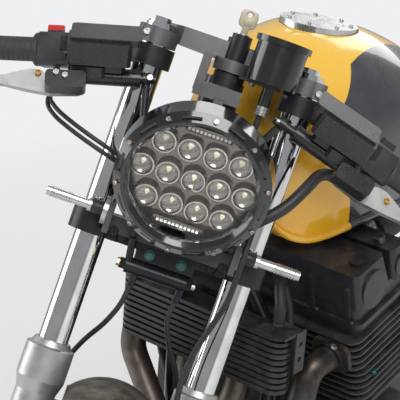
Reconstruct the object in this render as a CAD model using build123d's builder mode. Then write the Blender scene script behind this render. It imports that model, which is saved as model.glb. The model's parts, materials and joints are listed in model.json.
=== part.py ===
from build123d import *
import math
import os

# Cafe racer motorcycle, parked on its side stand with the steering turned onto its left stop.
# The bike stands upright in its own frame while it is drawn: +X is the rider's left, +Y is
# rearward, +Z is up, and the origin is on the ground midway between the two axles.
# Fork pieces are drawn about the steering axis: z runs up the axis from the underside of the
# bottom yoke, x is the rider's left and y points rearward, square to the axis.

# Chassis
WHEELBASE = 1430.0
RAKE = 25.0
FORK_OFFSET = 35.0
FRONT_TYRE_RADIUS = 293.0
FRONT_TYRE_WIDTH = 110.0
REAR_TYRE_RADIUS = 321.0
REAR_TYRE_WIDTH = 150.0
FRONT_SIDEWALL = 77.0
REAR_SIDEWALL = 105.0
AXLE_RADIUS = 10.0
LEAN = 11.5
STEERING_LOCK = 36.0
PARKED_CENTRE_X = 151.0
PARKED_CENTRE_Y = 33.0
STAND_REACH = 130.0
STAND_FORWARD = 90.0
CROWN_SHARE = 0.52
FIT_GAP = 0.3
SHAFT_GAP = 0.05
CORD_END_GAP = 0.8

# Fork and yokes
LEG_CLEARANCE = 21.0
TUBE_RADIUS = 20.5
YOKE_HEIGHT = 790.0
BOTTOM_YOKE_THICK = 32.0
TOP_YOKE_LEVEL = 262.0
TOP_YOKE_THICK = 22.0
STEM_RADIUS = 14.0
HEAD_TUBE_RADIUS = 27.0
SLIDER_TOP = -161.0
SLIDER_RADIUS = 27.5
SEAL_RADIUS = 33.0
SEAL_LIP = 9.0
DISC_RADIUS = 140.0
DISC_THICK = 4.5
REAR_DISC_RADIUS = 110.0

# Headlight
LAMP_RADIUS = 101.0
LAMP_BOLT_INSET = 5.0
LAMP_BOLTS = 10
LAMP_BOLT_TURN = 17.0
BEZEL_POCKET_FLOOR = 2.5
LAMP_GLASS_INSET = 20.0
LAMP_FORWARD = 129.0
LAMP_UP = 106.0

# Handlebars, each side the mirror of the other
BAR_LEVEL = 248.0
BAR_RADIUS = 11.0
BAR_LENGTH = 292.0
BAR_DROP = 15.5
BAR_SWEEP = 17.0
GRIP_RADIUS = 16.5
GRIP_START = 160.0
GRIP_LENGTH = 122.0
SWITCH_START = 112.0
SWITCH_TALL = 46.0

# Instruments
GAUGE_RADIUS = 34.0
GAUGE_HEIGHT = 52.0
GAUGE_X = 55.0
IGNITION_X = 2.0
GAUGE_FORWARD = 56.0
GAUGE_LEVEL = 258.0
BARREL_RADIUS = 13.5

# Tank and seat
TANK_BOTTOM = 734.0
CAP_Y = -165.0
CAP_RADIUS = 56.0
SEAT_THICK = 48.0

# Engine
COOLER_WIDTH = 290.0
COOLER_DEPTH = 40.0
COOLER_ROWS = 10
COOLER_ROW_PITCH = 9.2
COOLER_X = 8.0
COOLER_Y = -386.0
COOLER_Z = 574.0

# Rear end
SWINGARM_PIVOT_Y = 205.0
SWINGARM_PIVOT_Z = 330.0
CHAIN_X = 96.0
CHAIN_PITCH = 15.875
REAR_TEETH = 48
FRONT_TEETH = 16

# Worked out from the sizes above
rake = math.radians(RAKE)
AXLE_TRAIL = FRONT_TYRE_RADIUS / math.cos(rake) - FORK_OFFSET * math.tan(rake)
AXLE_DROP = YOKE_HEIGHT - AXLE_TRAIL
TRAIL = (FRONT_TYRE_RADIUS * math.sin(rake) - FORK_OFFSET) / math.cos(rake)
STEER_GROUND = -WHEELBASE / 2 - TRAIL
TUBE_X = FRONT_TYRE_WIDTH / 2 + LEG_CLEARANCE + SLIDER_RADIUS
LAMP_BOLT_RADIUS = LAMP_RADIUS - LAMP_BOLT_INSET
LAMP_LENS_RADIUS = LAMP_RADIUS - LAMP_GLASS_INSET
TUBE_TOP = TOP_YOKE_LEVEL + TOP_YOKE_THICK
REAR_AXLE_Y = WHEELBASE / 2
REAR_SPROCKET_RADIUS = CHAIN_PITCH / (2 * math.sin(math.pi / REAR_TEETH))
FRONT_SPROCKET_RADIUS = CHAIN_PITCH / (2 * math.sin(math.pi / FRONT_TEETH))
STEER = Pos(0, STEER_GROUND + YOKE_HEIGHT * math.sin(rake), YOKE_HEIGHT * math.cos(rake)) * Rot(X=-RAKE)
BOTTOM = (Align.CENTER, Align.CENTER, Align.MIN)


def lowest_tread(turn, centre, axle, radius, width):
    """Height of the lowest point of a round-crowned tyre once the bike is turned."""
    middle = (turn * Pos(*centre)).position
    tip = (turn * Pos(*(Vector(*centre) + Vector(*axle)))).position
    slope = (tip - middle).Z
    crown = width * CROWN_SHARE
    return middle.Z - (radius - crown) * math.sqrt(1 - slope**2) - crown


def parked_location():
    """Leans the bike onto its stand and pitches it until both tyres touch the ground."""
    steered = STEER * Rot(Z=STEERING_LOCK)
    front_centre = (steered * Pos(0, -FORK_OFFSET, -AXLE_DROP)).position
    front_tip = (steered * Pos(1, -FORK_OFFSET, -AXLE_DROP)).position
    front_axle_line = tuple(front_tip - front_centre)
    rear_centre = (0, REAR_AXLE_Y, REAR_TYRE_RADIUS)
    pitch = 0.0
    for _ in range(12):
        turn = Rot(Y=LEAN) * Rot(X=pitch)
        front = lowest_tread(turn, tuple(front_centre), front_axle_line, FRONT_TYRE_RADIUS, FRONT_TYRE_WIDTH)
        rear = lowest_tread(turn, rear_centre, (1, 0, 0), REAR_TYRE_RADIUS, REAR_TYRE_WIDTH)
        pitch += math.degrees((front - rear) / WHEELBASE)
    return Pos(-PARKED_CENTRE_X, -PARKED_CENTRE_Y, -rear) * turn


PARKED = parked_location()
STEERED = PARKED * STEER * Rot(Z=STEERING_LOCK)
FRONT_WHEEL = STEERED * Pos(0, -FORK_OFFSET, -AXLE_DROP)
REAR_WHEEL = PARKED * Pos(0, REAR_AXLE_Y, REAR_TYRE_RADIUS)
LAMP_IN_FORK = Pos(0, -FORK_OFFSET - LAMP_FORWARD, LAMP_UP) * Rot(X=90 + RAKE)
LAMP = STEERED * LAMP_IN_FORK

os.makedirs("parts", exist_ok=True)


def keep(piece, label, place):
    """Labels a finished piece and writes it where it stands on the parked bike."""
    piece.part.label = label
    export_step(piece.part.moved(place), f"parts/{label}.step")


def bent_bar(points, radius, bends=None):
    """A round bar along the points, bent to the given radii at the inner ones."""
    with BuildPart() as bar:
        with BuildLine() as route:
            if bends is None:
                Line(*points)
            else:
                FilletPolyline(*points, radius=bends)
        with BuildSketch(Plane(origin=route.line @ 0, z_dir=route.line % 0)):
            Circle(radius)
        sweep()
    return bar.part


def cord(points, radius):
    """A round cord just short of its two end fittings, each bend as wide as its runs allow."""
    stops = [Vector(*point) for point in points]
    stops[0] += (stops[1] - stops[0]).normalized() * CORD_END_GAP
    stops[-1] += (stops[-2] - stops[-1]).normalized() * CORD_END_GAP
    bends = []
    for before, corner, after in zip(stops, stops[1:], stops[2:]):
        into, out = corner - before, after - corner
        half_turn = math.radians(into.get_angle(out) / 2)
        bends.append(0.45 * min(into.length, out.length) / math.tan(half_turn))
    print("cord of radius", radius, "bends", [round(bend) for bend in bends])
    return bent_bar([tuple(stop) for stop in stops], radius, bends)


def ahead(*points):
    """Fork points given as left of the axis, forward of the fork legs and up the axis."""
    return [(x, -FORK_OFFSET - forward, up) for x, forward, up in points]


def on_side(side, route):
    """A route written for the rider's left, turned to either side of the bike."""
    return [(side * x, y, z) for x, y, z in route]


def fork_plane(side):
    """The plane down through one fork leg, x outward from its axis and y up the leg."""
    return Plane((side * TUBE_X, -FORK_OFFSET, 0), x_dir=(1, 0, 0), z_dir=(0, -1, 0))


def bar_plane(side, along):
    """A plane square to one handlebar, at a distance along it from the fork leg's axis."""
    drop, sweep_back = math.radians(BAR_DROP), math.radians(BAR_SWEEP)
    outward = Vector(
        side * math.cos(drop) * math.cos(sweep_back),
        math.cos(drop) * math.sin(sweep_back),
        -math.sin(drop),
    )
    rearward = Vector(-side * math.sin(sweep_back), math.cos(sweep_back), 0)
    root = Vector(side * TUBE_X, -FORK_OFFSET, BAR_LEVEL)
    return Plane(root + outward * along, x_dir=rearward, z_dir=outward)


def tyre(radius, width, sidewall):
    """A tyre about the X axis: beads, rounded sidewalls and a round crown."""
    crown = width * CROWN_SHARE
    foot = (-width * 0.36, radius - sidewall + FIT_GAP)

    def on_crown(x):
        return (x, radius - crown + math.sqrt(crown**2 - x**2))

    shoulder = on_crown(-width * 0.48)
    with BuildPart() as made:
        with BuildSketch():
            with BuildLine():
                Line((0, foot[1]), foot)
                ThreePointArc(foot, (-width / 2 + 2, (foot[1] + shoulder[1]) / 2), shoulder)
                ThreePointArc(shoulder, on_crown(-width * 0.3), (0, radius))
                mirror(about=Plane.YZ)
            make_face()
        revolve(axis=Axis.X)
    return made


def cast_wheel(rim_radius, rim_width, hub_length, hub_radius, spokes):
    """Rim, hub and tapered spokes of a cast wheel, about the X axis."""
    half = rim_width / 2
    with BuildPart() as made:
        with BuildSketch():
            with BuildLine():
                Polyline(
                    (0, rim_radius - 22),
                    (-half * 0.55, rim_radius - 22),
                    (-half + 4, rim_radius - 3),
                    (-half + 4, rim_radius),
                    (-half - 3, rim_radius),
                    (-half - 3, rim_radius - 10),
                    (-half * 0.6, rim_radius - 30),
                    (0, rim_radius - 30),
                )
                mirror(about=Plane.YZ)
            make_face()
        revolve(axis=Axis.X)
        with BuildSketch(Plane.YZ.offset(-hub_length / 2)):
            Circle(hub_radius)
        extrude(amount=hub_length)
        for number in range(spokes):
            turn = math.radians(number * 360 / spokes)
            outward = Vector(0, math.sin(turn), math.cos(turn))
            with BuildSketch(Plane(outward * (hub_radius - 6), x_dir=(1, 0, 0), z_dir=outward)):
                RectangleRounded(hub_length * 0.45, 34, 8)
            with BuildSketch(Plane(outward * (rim_radius - 28), x_dir=(1, 0, 0), z_dir=outward)):
                RectangleRounded(rim_width * 0.35, 22, 5)
            loft()
        with BuildSketch(Plane.YZ.offset(-hub_length)):
            Circle(AXLE_RADIUS + SHAFT_GAP)
        extrude(amount=2 * hub_length, mode=Mode.SUBTRACT)
    return made


FRONT_HUB_LENGTH = 118.0
REAR_HUB_LENGTH = 150.0
DISC_X = FRONT_HUB_LENGTH / 2 + 4

front_tyre = tyre(FRONT_TYRE_RADIUS, FRONT_TYRE_WIDTH, FRONT_SIDEWALL)
keep(front_tyre, "front_tyre", FRONT_WHEEL)
rear_tyre = tyre(REAR_TYRE_RADIUS, REAR_TYRE_WIDTH, REAR_SIDEWALL)
keep(rear_tyre, "rear_tyre", REAR_WHEEL)
front_rim = cast_wheel(
    FRONT_TYRE_RADIUS - FRONT_SIDEWALL, FRONT_TYRE_WIDTH * 0.72, FRONT_HUB_LENGTH, 32, 6
)
keep(front_rim, "front_rim", FRONT_WHEEL)
rear_rim = cast_wheel(
    REAR_TYRE_RADIUS - REAR_SIDEWALL, REAR_TYRE_WIDTH * 0.72, REAR_HUB_LENGTH, 42, 6
)
keep(rear_rim, "rear_rim", REAR_WHEEL)

with BuildPart() as front_discs:
    for side in (-1, 1):
        with BuildSketch(Plane.YZ.offset(side * (DISC_X + DISC_THICK / 2) - DISC_THICK / 2)):
            Circle(DISC_RADIUS)
            Circle(DISC_RADIUS - 34, mode=Mode.SUBTRACT)
            with PolarLocations(DISC_RADIUS - 60, 6):
                Rectangle(70, 14)
            Circle(52)
            Circle(AXLE_RADIUS + 2, mode=Mode.SUBTRACT)
        extrude(amount=DISC_THICK)
        with BuildSketch(Plane.YZ.offset(side * DISC_X)):
            Circle(30)
            Circle(AXLE_RADIUS + 2, mode=Mode.SUBTRACT)
        extrude(amount=-side * (DISC_X - FRONT_HUB_LENGTH / 2))
keep(front_discs, "front_discs", FRONT_WHEEL)

with BuildPart() as rear_disc:
    with BuildSketch(Plane.YZ.offset(-REAR_HUB_LENGTH / 2)):
        Circle(REAR_DISC_RADIUS)
        Circle(78, mode=Mode.SUBTRACT)
        with PolarLocations(58, 6):
            Rectangle(60, 16)
        Circle(46)
        Circle(AXLE_RADIUS + 2, mode=Mode.SUBTRACT)
    extrude(amount=-DISC_THICK)
keep(rear_disc, "rear_disc", REAR_WHEEL)

with BuildPart() as rear_sprocket:
    with BuildSketch(Plane.YZ.offset(CHAIN_X - 3.5)):
        Circle(REAR_SPROCKET_RADIUS - 5.6)
        Circle(AXLE_RADIUS + 2, mode=Mode.SUBTRACT)
        with PolarLocations(78, 6):
            Circle(20, mode=Mode.SUBTRACT)
    extrude(amount=7)
    with BuildSketch(Plane.YZ.offset(REAR_HUB_LENGTH / 2)):
        Circle(48)
        Circle(AXLE_RADIUS + 2, mode=Mode.SUBTRACT)
    extrude(amount=CHAIN_X - 3.5 - REAR_HUB_LENGTH / 2)
keep(rear_sprocket, "rear_sprocket", REAR_WHEEL)

# Fork
with BuildPart() as front_axle:
    with BuildSketch(Plane.YZ.offset(-TUBE_X - 28)):
        Circle(AXLE_RADIUS)
    extrude(amount=2 * TUBE_X + 56)
    with Locations(*[Location((side * (TUBE_X + 33), 0, 0), (0, 90, 0)) for side in (-1, 1)]):
        Cylinder(14, 10)
    sides = [Location((side * (TUBE_X - SLIDER_RADIUS - 0.5), 0, 0), (0, -90 * side, 0)) for side in (-1, 1)]
    with Locations(*sides):
        Cylinder(13, 7, align=BOTTOM)
keep(front_axle, "front_axle", FRONT_WHEEL)

TUBE_FOOT = SLIDER_TOP - 150

with BuildPart() as fork_tubes:
    with Locations((-TUBE_X, -FORK_OFFSET, TUBE_FOOT), (TUBE_X, -FORK_OFFSET, TUBE_FOOT)):
        Cylinder(TUBE_RADIUS, TUBE_TOP - TUBE_FOOT + 5, align=BOTTOM)
    with BuildSketch(Plane.XY.offset(TUBE_TOP + 5)):
        with Locations((-TUBE_X, -FORK_OFFSET), (TUBE_X, -FORK_OFFSET)):
            Circle(TUBE_RADIUS - 2)
    extrude(amount=3)
    with BuildSketch(Plane.XY.offset(TUBE_TOP + 8)):
        with Locations((-TUBE_X, -FORK_OFFSET), (TUBE_X, -FORK_OFFSET)):
            RegularPolygon(11, 6)
            Circle(5, mode=Mode.SUBTRACT)
    extrude(amount=7)
keep(fork_tubes, "fork_tubes", STEERED)

with BuildPart() as fork_sliders:
    for side in (-1, 1):
        with BuildSketch(fork_plane(side)):
            with BuildLine():
                Polyline(
                    (TUBE_RADIUS + FIT_GAP, SLIDER_TOP + SEAL_LIP),
                    (TUBE_RADIUS + 4, SLIDER_TOP + SEAL_LIP),
                    (SEAL_RADIUS - 5, SLIDER_TOP + 2),
                    (SEAL_RADIUS, SLIDER_TOP),
                    (SEAL_RADIUS, SLIDER_TOP - 44),
                    (SLIDER_RADIUS, SLIDER_TOP - 62),
                    (SLIDER_RADIUS, -AXLE_DROP + 28),
                    (SLIDER_RADIUS - 5, -AXLE_DROP - 22),
                    (0, -AXLE_DROP - 22),
                    (0, TUBE_FOOT - FIT_GAP),
                    (TUBE_RADIUS + FIT_GAP, TUBE_FOOT - FIT_GAP),
                    close=True,
                )
            make_face()
        revolve(axis=Axis((side * TUBE_X, -FORK_OFFSET, 0), (0, 0, 1)))
    with Locations(*[Location((side * TUBE_X, -FORK_OFFSET, -AXLE_DROP), (0, 90, 0)) for side in (-1, 1)]):
        Cylinder(24, 52)
        Cylinder(AXLE_RADIUS + FIT_GAP, 80, mode=Mode.SUBTRACT)
    with Locations(*[(side * TUBE_X, -FORK_OFFSET + 34, -AXLE_DROP + 118) for side in (-1, 1)]):
        Box(16, 34, 90)
    with Locations((TUBE_X, -FORK_OFFSET - SLIDER_RADIUS - 5, -430)):
        Box(14, 14, 24)
keep(fork_sliders, "fork_sliders", STEERED)


def yoke_clamps(radius, level, thick, lug_offset, lug_forward):
    """Both clamp rings of a yoke, each with the lug of its pinch bolt in front."""
    with BuildPart() as made:
        with BuildSketch(Plane.XY.offset(level)):
            for side in (-1, 1):
                with Locations((side * TUBE_X, -FORK_OFFSET)):
                    Circle(radius)
                with Locations((side * (TUBE_X + lug_offset), -FORK_OFFSET - lug_forward)):
                    RectangleRounded(20, 28, 6)
        extrude(amount=thick)
    return made.part


UNION_TALL = 13.0
UNION_PLACE = Vector(40, -FORK_OFFSET + 8, BOTTOM_YOKE_THICK + UNION_TALL)
SPLITTER_SEAT = 12.0
SPLITTER_RADIUS = 11.0
SPLITTER_FORWARD = 19.0
SPLITTER_LEVEL = -SPLITTER_SEAT - SPLITTER_RADIUS - FIT_GAP
SPLITTER_ENDS = (-46.0, 38.0)

with BuildPart() as bottom_yoke:
    with BuildSketch():
        Circle(34)
        with BuildLine():
            Polyline(
                (-TUBE_X, -FORK_OFFSET + 24),
                (-30, 26),
                (30, 26),
                (TUBE_X, -FORK_OFFSET + 24),
                (TUBE_X, -FORK_OFFSET - 20),
                (40, -FORK_OFFSET - 24),
                (-40, -FORK_OFFSET - 24),
                (-TUBE_X, -FORK_OFFSET - 20),
                close=True,
            )
        make_face()
    extrude(amount=BOTTOM_YOKE_THICK)
    add(yoke_clamps(TUBE_RADIUS + 11, 0, BOTTOM_YOKE_THICK, -28, 14))
    with Locations((2, -FORK_OFFSET - 12, -SPLITTER_SEAT / 2)):
        Box(80, 24, SPLITTER_SEAT)
    with Locations((0, 0, BOTTOM_YOKE_THICK)):
        Cylinder(STEM_RADIUS, TOP_YOKE_LEVEL + TOP_YOKE_THICK - BOTTOM_YOKE_THICK + 22, align=BOTTOM)
    with Locations(tuple(UNION_PLACE - Vector(0, 0, UNION_TALL))):
        Cylinder(7, UNION_TALL, align=BOTTOM)
    with Locations((-TUBE_X, -FORK_OFFSET, 0), (TUBE_X, -FORK_OFFSET, 0)):
        Cylinder(TUBE_RADIUS + FIT_GAP, 90, mode=Mode.SUBTRACT)
keep(bottom_yoke, "bottom_yoke", STEERED)

# The brake line's splitter hangs below the yoke's front, with a ferrule for each hose
BRAKE_HOSE_RADIUS = 3.5
SPLITTER_FERRULES = (
    ahead((-29, SPLITTER_FORWARD + 1, SPLITTER_LEVEL), (-31, SPLITTER_FORWARD - 1, SPLITTER_LEVEL - 24)),
    ahead((35, SPLITTER_FORWARD + 1, SPLITTER_LEVEL), (32, SPLITTER_FORWARD, SPLITTER_LEVEL - 26)),
    ahead((-43, SPLITTER_FORWARD + 4, SPLITTER_LEVEL + 3), (-48, 45, 16)),
)

with BuildPart() as brake_splitter:
    with BuildSketch(Plane.YZ.offset(SPLITTER_ENDS[0])):
        with Locations((-FORK_OFFSET - SPLITTER_FORWARD, SPLITTER_LEVEL)):
            Circle(SPLITTER_RADIUS)
    extrude(amount=SPLITTER_ENDS[1] - SPLITTER_ENDS[0])
    for start, width in ((SPLITTER_ENDS[0] + 3, 17), (SPLITTER_ENDS[1] - 16, 12)):
        with BuildSketch(Plane.YZ.offset(start)):
            with Locations((-FORK_OFFSET - SPLITTER_FORWARD, SPLITTER_LEVEL)):
                RegularPolygon(SPLITTER_RADIUS, 12)
        extrude(amount=width)
    for end, way in ((SPLITTER_ENDS[0], -1), (SPLITTER_ENDS[1], 1)):
        with BuildSketch(Plane.YZ.offset(end)):
            with Locations((-FORK_OFFSET - SPLITTER_FORWARD, SPLITTER_LEVEL)):
                RegularPolygon(8, 6)
        extrude(amount=way * 8)
    for ferrule in SPLITTER_FERRULES:
        add(bent_bar(ferrule, 5))
keep(brake_splitter, "brake_splitter", STEERED)

with BuildPart() as top_yoke:
    add(yoke_clamps(TUBE_RADIUS + 7, TOP_YOKE_LEVEL, TOP_YOKE_THICK, 15, 12))
    with BuildSketch(Plane.XY.offset(TOP_YOKE_LEVEL + 11)):
        with BuildLine():
            Polyline(
                (-TUBE_X + 8, -FORK_OFFSET + 24),
                (-34, 34),
                (34, 34),
                (TUBE_X - 8, -FORK_OFFSET + 24),
                (TUBE_X - 30, -FORK_OFFSET - 10),
                (28, -FORK_OFFSET - 16),
                (-28, -FORK_OFFSET - 16),
                (-TUBE_X + 30, -FORK_OFFSET - 10),
                close=True,
            )
        make_face()
    extrude(amount=TOP_YOKE_THICK + 2)
    with BuildSketch(Plane.XY.offset(TOP_YOKE_LEVEL - 4)):
        with Locations((2, -FORK_OFFSET - 15)):
            Circle(25)
    extrude(amount=16)
    with Locations((-TUBE_X, -FORK_OFFSET, TOP_YOKE_LEVEL), (TUBE_X, -FORK_OFFSET, TOP_YOKE_LEVEL)):
        Cylinder(TUBE_RADIUS + FIT_GAP, 90, mode=Mode.SUBTRACT)
    with Locations((2, -FORK_OFFSET - 15, TOP_YOKE_LEVEL)):
        Cylinder(BARREL_RADIUS + FIT_GAP, 90, mode=Mode.SUBTRACT)
    with Locations((0, 0, TOP_YOKE_LEVEL)):
        Cylinder(STEM_RADIUS + FIT_GAP, 90, mode=Mode.SUBTRACT)
keep(top_yoke, "top_yoke", STEERED)

# Headlight, drawn about its own axis with z out of the lens
with BuildPart() as headlight_bezel:
    with BuildSketch(Plane.XZ):
        with BuildLine():
            Polyline(
                (LAMP_LENS_RADIUS, -12),
                (LAMP_LENS_RADIUS, 1),
                (LAMP_LENS_RADIUS + 5, 7),
                (LAMP_BOLT_RADIUS - 6, 8),
                (LAMP_RADIUS, -2),
                (LAMP_RADIUS + 1, -32),
                (LAMP_RADIUS - 5, -32),
                (LAMP_RADIUS - 5, -12),
                close=True,
            )
        make_face()
    revolve(axis=Axis.Z)
    with BuildSketch(Plane.XY.offset(BEZEL_POCKET_FLOOR)):
        Circle(LAMP_RADIUS + 3)
        Circle(LAMP_BOLT_RADIUS - 4, mode=Mode.SUBTRACT)
        with PolarLocations(LAMP_BOLT_RADIUS, LAMP_BOLTS, start_angle=LAMP_BOLT_TURN):
            Rectangle(30, 34, mode=Mode.SUBTRACT)
    extrude(amount=12, mode=Mode.SUBTRACT)
keep(headlight_bezel, "headlight_bezel", LAMP)

SHELL_RADIUS = LAMP_RADIUS - 5 - FIT_GAP
SHELL_SHOULDER = SHELL_RADIUS - 9.7
SHELL_BACK = SHELL_RADIUS - 33.7

with BuildPart() as headlight_shell:
    with BuildSketch(Plane.XZ):
        with BuildLine():
            Polyline(
                (0, -98),
                (SHELL_RADIUS - 49.7, -98),
                (SHELL_BACK, -92),
                (SHELL_SHOULDER, -58),
                (SHELL_RADIUS, -32),
                (SHELL_RADIUS, -14),
                (SHELL_RADIUS - 4, -14),
                (SHELL_RADIUS - 4, -32),
                (SHELL_SHOULDER - 4, -56),
                (SHELL_BACK - 2, -88),
                (0, -92),
                close=True,
            )
        make_face()
    revolve(axis=Axis.Z)
keep(headlight_shell, "headlight_shell", LAMP)

LENS_RISE = 7.0
LENS_THICK = 3.0
LENS_EDGE = LAMP_LENS_RADIUS - FIT_GAP


def lens_rise(radius):
    """Height of the lens's domed face above its rim, at a radius from its centre."""
    dome = (LENS_EDGE**2 + LENS_RISE**2) / (2 * LENS_RISE)
    return LENS_RISE - dome + math.sqrt(dome**2 - radius**2)


with BuildPart() as headlight_lens:
    with BuildSketch(Plane.XZ):
        with BuildLine():
            Line((0, LENS_RISE - LENS_THICK), (0, LENS_RISE))
            ThreePointArc((0, LENS_RISE), (LENS_EDGE / 2, lens_rise(LENS_EDGE / 2)), (LENS_EDGE, 0))
            Line((LENS_EDGE, 0), (LENS_EDGE, -LENS_THICK))
            ThreePointArc(
                (LENS_EDGE, -LENS_THICK),
                (LENS_EDGE / 2, lens_rise(LENS_EDGE / 2) - LENS_THICK),
                (0, LENS_RISE - LENS_THICK),
            )
        make_face()
    revolve(axis=Axis.Z)
keep(headlight_lens, "headlight_lens", LAMP)

# Thirteen projector lenses in rows of four, five and four behind the lens
PROJECTOR_GAP = 5.0
PROJECTOR_PITCH = (LAMP_LENS_RADIUS + 3.5) / 2.5
PROJECTOR_ROW_PITCH = PROJECTOR_PITCH + 6.1
PROJECTOR_RADIUS = (PROJECTOR_PITCH - PROJECTOR_GAP) / 2
STRIP_LEVELS = (12 - LAMP_LENS_RADIUS, LAMP_LENS_RADIUS - 15)
projector_places = [
    ((column - (count - 1) / 2) * PROJECTOR_PITCH, row * PROJECTOR_ROW_PITCH - 1.5)
    for row, count in ((-1, 4), (0, 5), (1, 4))
    for column in range(count)
]

with BuildPart() as headlight_reflector:
    with BuildSketch(Plane.XY.offset(-30)):
        Circle(SHELL_RADIUS - 4 - FIT_GAP)
    extrude(amount=6)
    with BuildSketch(Plane.XY.offset(-24)):
        with Locations(*projector_places):
            Circle(PROJECTOR_RADIUS + 2)
            Circle(PROJECTOR_RADIUS - 1.5, mode=Mode.SUBTRACT)
        with Locations(*[(0, level) for level in STRIP_LEVELS]):
            RectangleRounded(70, 12, 5)
            RectangleRounded(62, 6, 2.5, mode=Mode.SUBTRACT)
    extrude(amount=8)
keep(headlight_reflector, "headlight_reflector", LAMP)

with BuildPart() as projector_lenses:
    with BuildSketch(Plane.XY.offset(-16)):
        with Locations(*projector_places):
            Circle(PROJECTOR_RADIUS)
    extrude(amount=4)
    fillet(projector_lenses.edges().group_by(Axis.Z)[-1], 3.5)
    with BuildSketch(Plane.XY.offset(-16)):
        with Locations(*[(0, level) for level in STRIP_LEVELS]):
            RectangleRounded(66, 9, 3)
    extrude(amount=3)
keep(projector_lenses, "projector_lenses", LAMP)

with BuildPart() as headlight_bracket:
    with Locations((-7, -FORK_OFFSET - 52, 227)):
        Box(62, 14, 20)
    with Locations((-33, -FORK_OFFSET - 34, 245)):
        Box(12, 24, 44)
    with Locations((-33, -FORK_OFFSET - 24, TOP_YOKE_LEVEL + 11 - FIT_GAP)):
        Box(12, 44, 8, align=(Align.CENTER, Align.CENTER, Align.MAX))
    with BuildSketch(Plane.YZ.offset(-8)):
        with BuildLine():
            Polyline(
                (-FORK_OFFSET - 45, 223),
                (-FORK_OFFSET - 104, 217),
                (-FORK_OFFSET - 104, 202),
                (-FORK_OFFSET - 45, 217),
                close=True,
            )
        make_face()
    extrude(amount=12)
    for side in (-1, 1):
        with Locations((side * 86, -FORK_OFFSET - TUBE_RADIUS - 31, 30)):
            Box(8, 41, 40)
    with Locations((0, -FORK_OFFSET - TUBE_RADIUS - 10.3, 22)):
        Box(168, 5.4, 22)
    with Locations(LAMP_IN_FORK * Pos(0, 0, -75)):
        Cone(SHELL_BACK + FIT_GAP, SHELL_SHOULDER + FIT_GAP, 34, mode=Mode.SUBTRACT)
keep(headlight_bracket, "headlight_bracket", STEERED)

with BuildPart() as indicator_stalks:
    for side in (-1, 1):
        with Locations(Location((side * 93.1, -FORK_OFFSET - 52, 37.5), (0, 90 * side, 0))):
            Cylinder(19, 6)
            Cylinder(9, 24, align=BOTTOM)
            Cylinder(6.5, 80, align=BOTTOM)
keep(indicator_stalks, "indicator_stalks", STEERED)

# Handlebars and what they carry
with BuildPart() as handlebars:
    for side in (-1, 1):
        with BuildSketch(bar_plane(side, TUBE_RADIUS + 4)):
            Circle(BAR_RADIUS)
        extrude(amount=BAR_LENGTH - TUBE_RADIUS - 4)
        with Locations((side * TUBE_X, -FORK_OFFSET, TOP_YOKE_LEVEL - 29)):
            Cylinder(TUBE_RADIUS + 8, 27, align=BOTTOM)
            Cylinder(TUBE_RADIUS + FIT_GAP, 90, mode=Mode.SUBTRACT)
keep(handlebars, "handlebars", STEERED)

with BuildPart() as grips:
    for side in (-1, 1):
        with BuildSketch(bar_plane(side, GRIP_START)):
            Circle(GRIP_RADIUS)
            Circle(BAR_RADIUS + FIT_GAP, mode=Mode.SUBTRACT)
        extrude(amount=GRIP_LENGTH)
        with BuildSketch(bar_plane(side, GRIP_START - 6)):
            Circle(GRIP_RADIUS + 6)
            Circle(BAR_RADIUS + FIT_GAP, mode=Mode.SUBTRACT)
        extrude(amount=7)
keep(grips, "grips", STEERED)

with BuildPart() as switch_housings:
    for side in (-1, 1):
        with BuildSketch(bar_plane(side, SWITCH_START)):
            RectangleRounded(44, SWITCH_TALL, 10)
            Circle(BAR_RADIUS + FIT_GAP, mode=Mode.SUBTRACT)
        extrude(amount=GRIP_START - 7 - SWITCH_START)
        with BuildSketch(bar_plane(side, SWITCH_START + 12)):
            with Locations((-4, side * (SWITCH_TALL / 2 + 4))):
                RectangleRounded(12, 12, 3)
        extrude(amount=20)
keep(switch_housings, "switch_housings", STEERED)


def level_plane(side, x, forward, up):
    """A plane level fore and aft that follows one bar's droop, x outward and z up."""
    outward = Vector(side * math.cos(math.radians(BAR_DROP)), 0, -math.sin(math.radians(BAR_DROP)))
    rearward = Vector(0, math.cos(rake), math.sin(rake))
    upward = outward.cross(rearward) * side
    return Plane((side * x, -FORK_OFFSET - forward, up), x_dir=outward, z_dir=upward.normalized())


LEVER_TILT = 40.0
LEVER_INNER_X = 174.0
LEVER_FORWARD = 66.0
LEVER_LEVEL = 177.0
LEVER_THICK = 9.0
LEVER_PIVOT = (26, 3)
LEVER_OUTLINE = (
    (0, -5), (24, -4), (42, -14), (54, -21), (66, -22), (80, -18), (100, -11), (150, -9), (200, -8),
    (206, 0), (150, 3), (100, 2), (70, 8), (40, 12), (0, 9),
)


def lever_plane(side):
    """The plane of one lever's upper face, x outward from its inner end, tipped down in front."""
    level = level_plane(side, LEVER_INNER_X, LEVER_FORWARD, LEVER_LEVEL)
    forward = level.z_dir.cross(level.x_dir) * -side
    tip = math.radians(LEVER_TILT)
    return Plane(level.origin, x_dir=level.x_dir, z_dir=level.z_dir * math.cos(tip) + forward * math.sin(tip))


# For each side, the distance out to the banjo and where the ferrule below it ends
MASTER_OUTLETS = {
    -1: (98, Vector(*ahead((-87, 43, 168))[0])),
    1: (86, Vector(*ahead((72, 38, 190))[0])),
}


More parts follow.
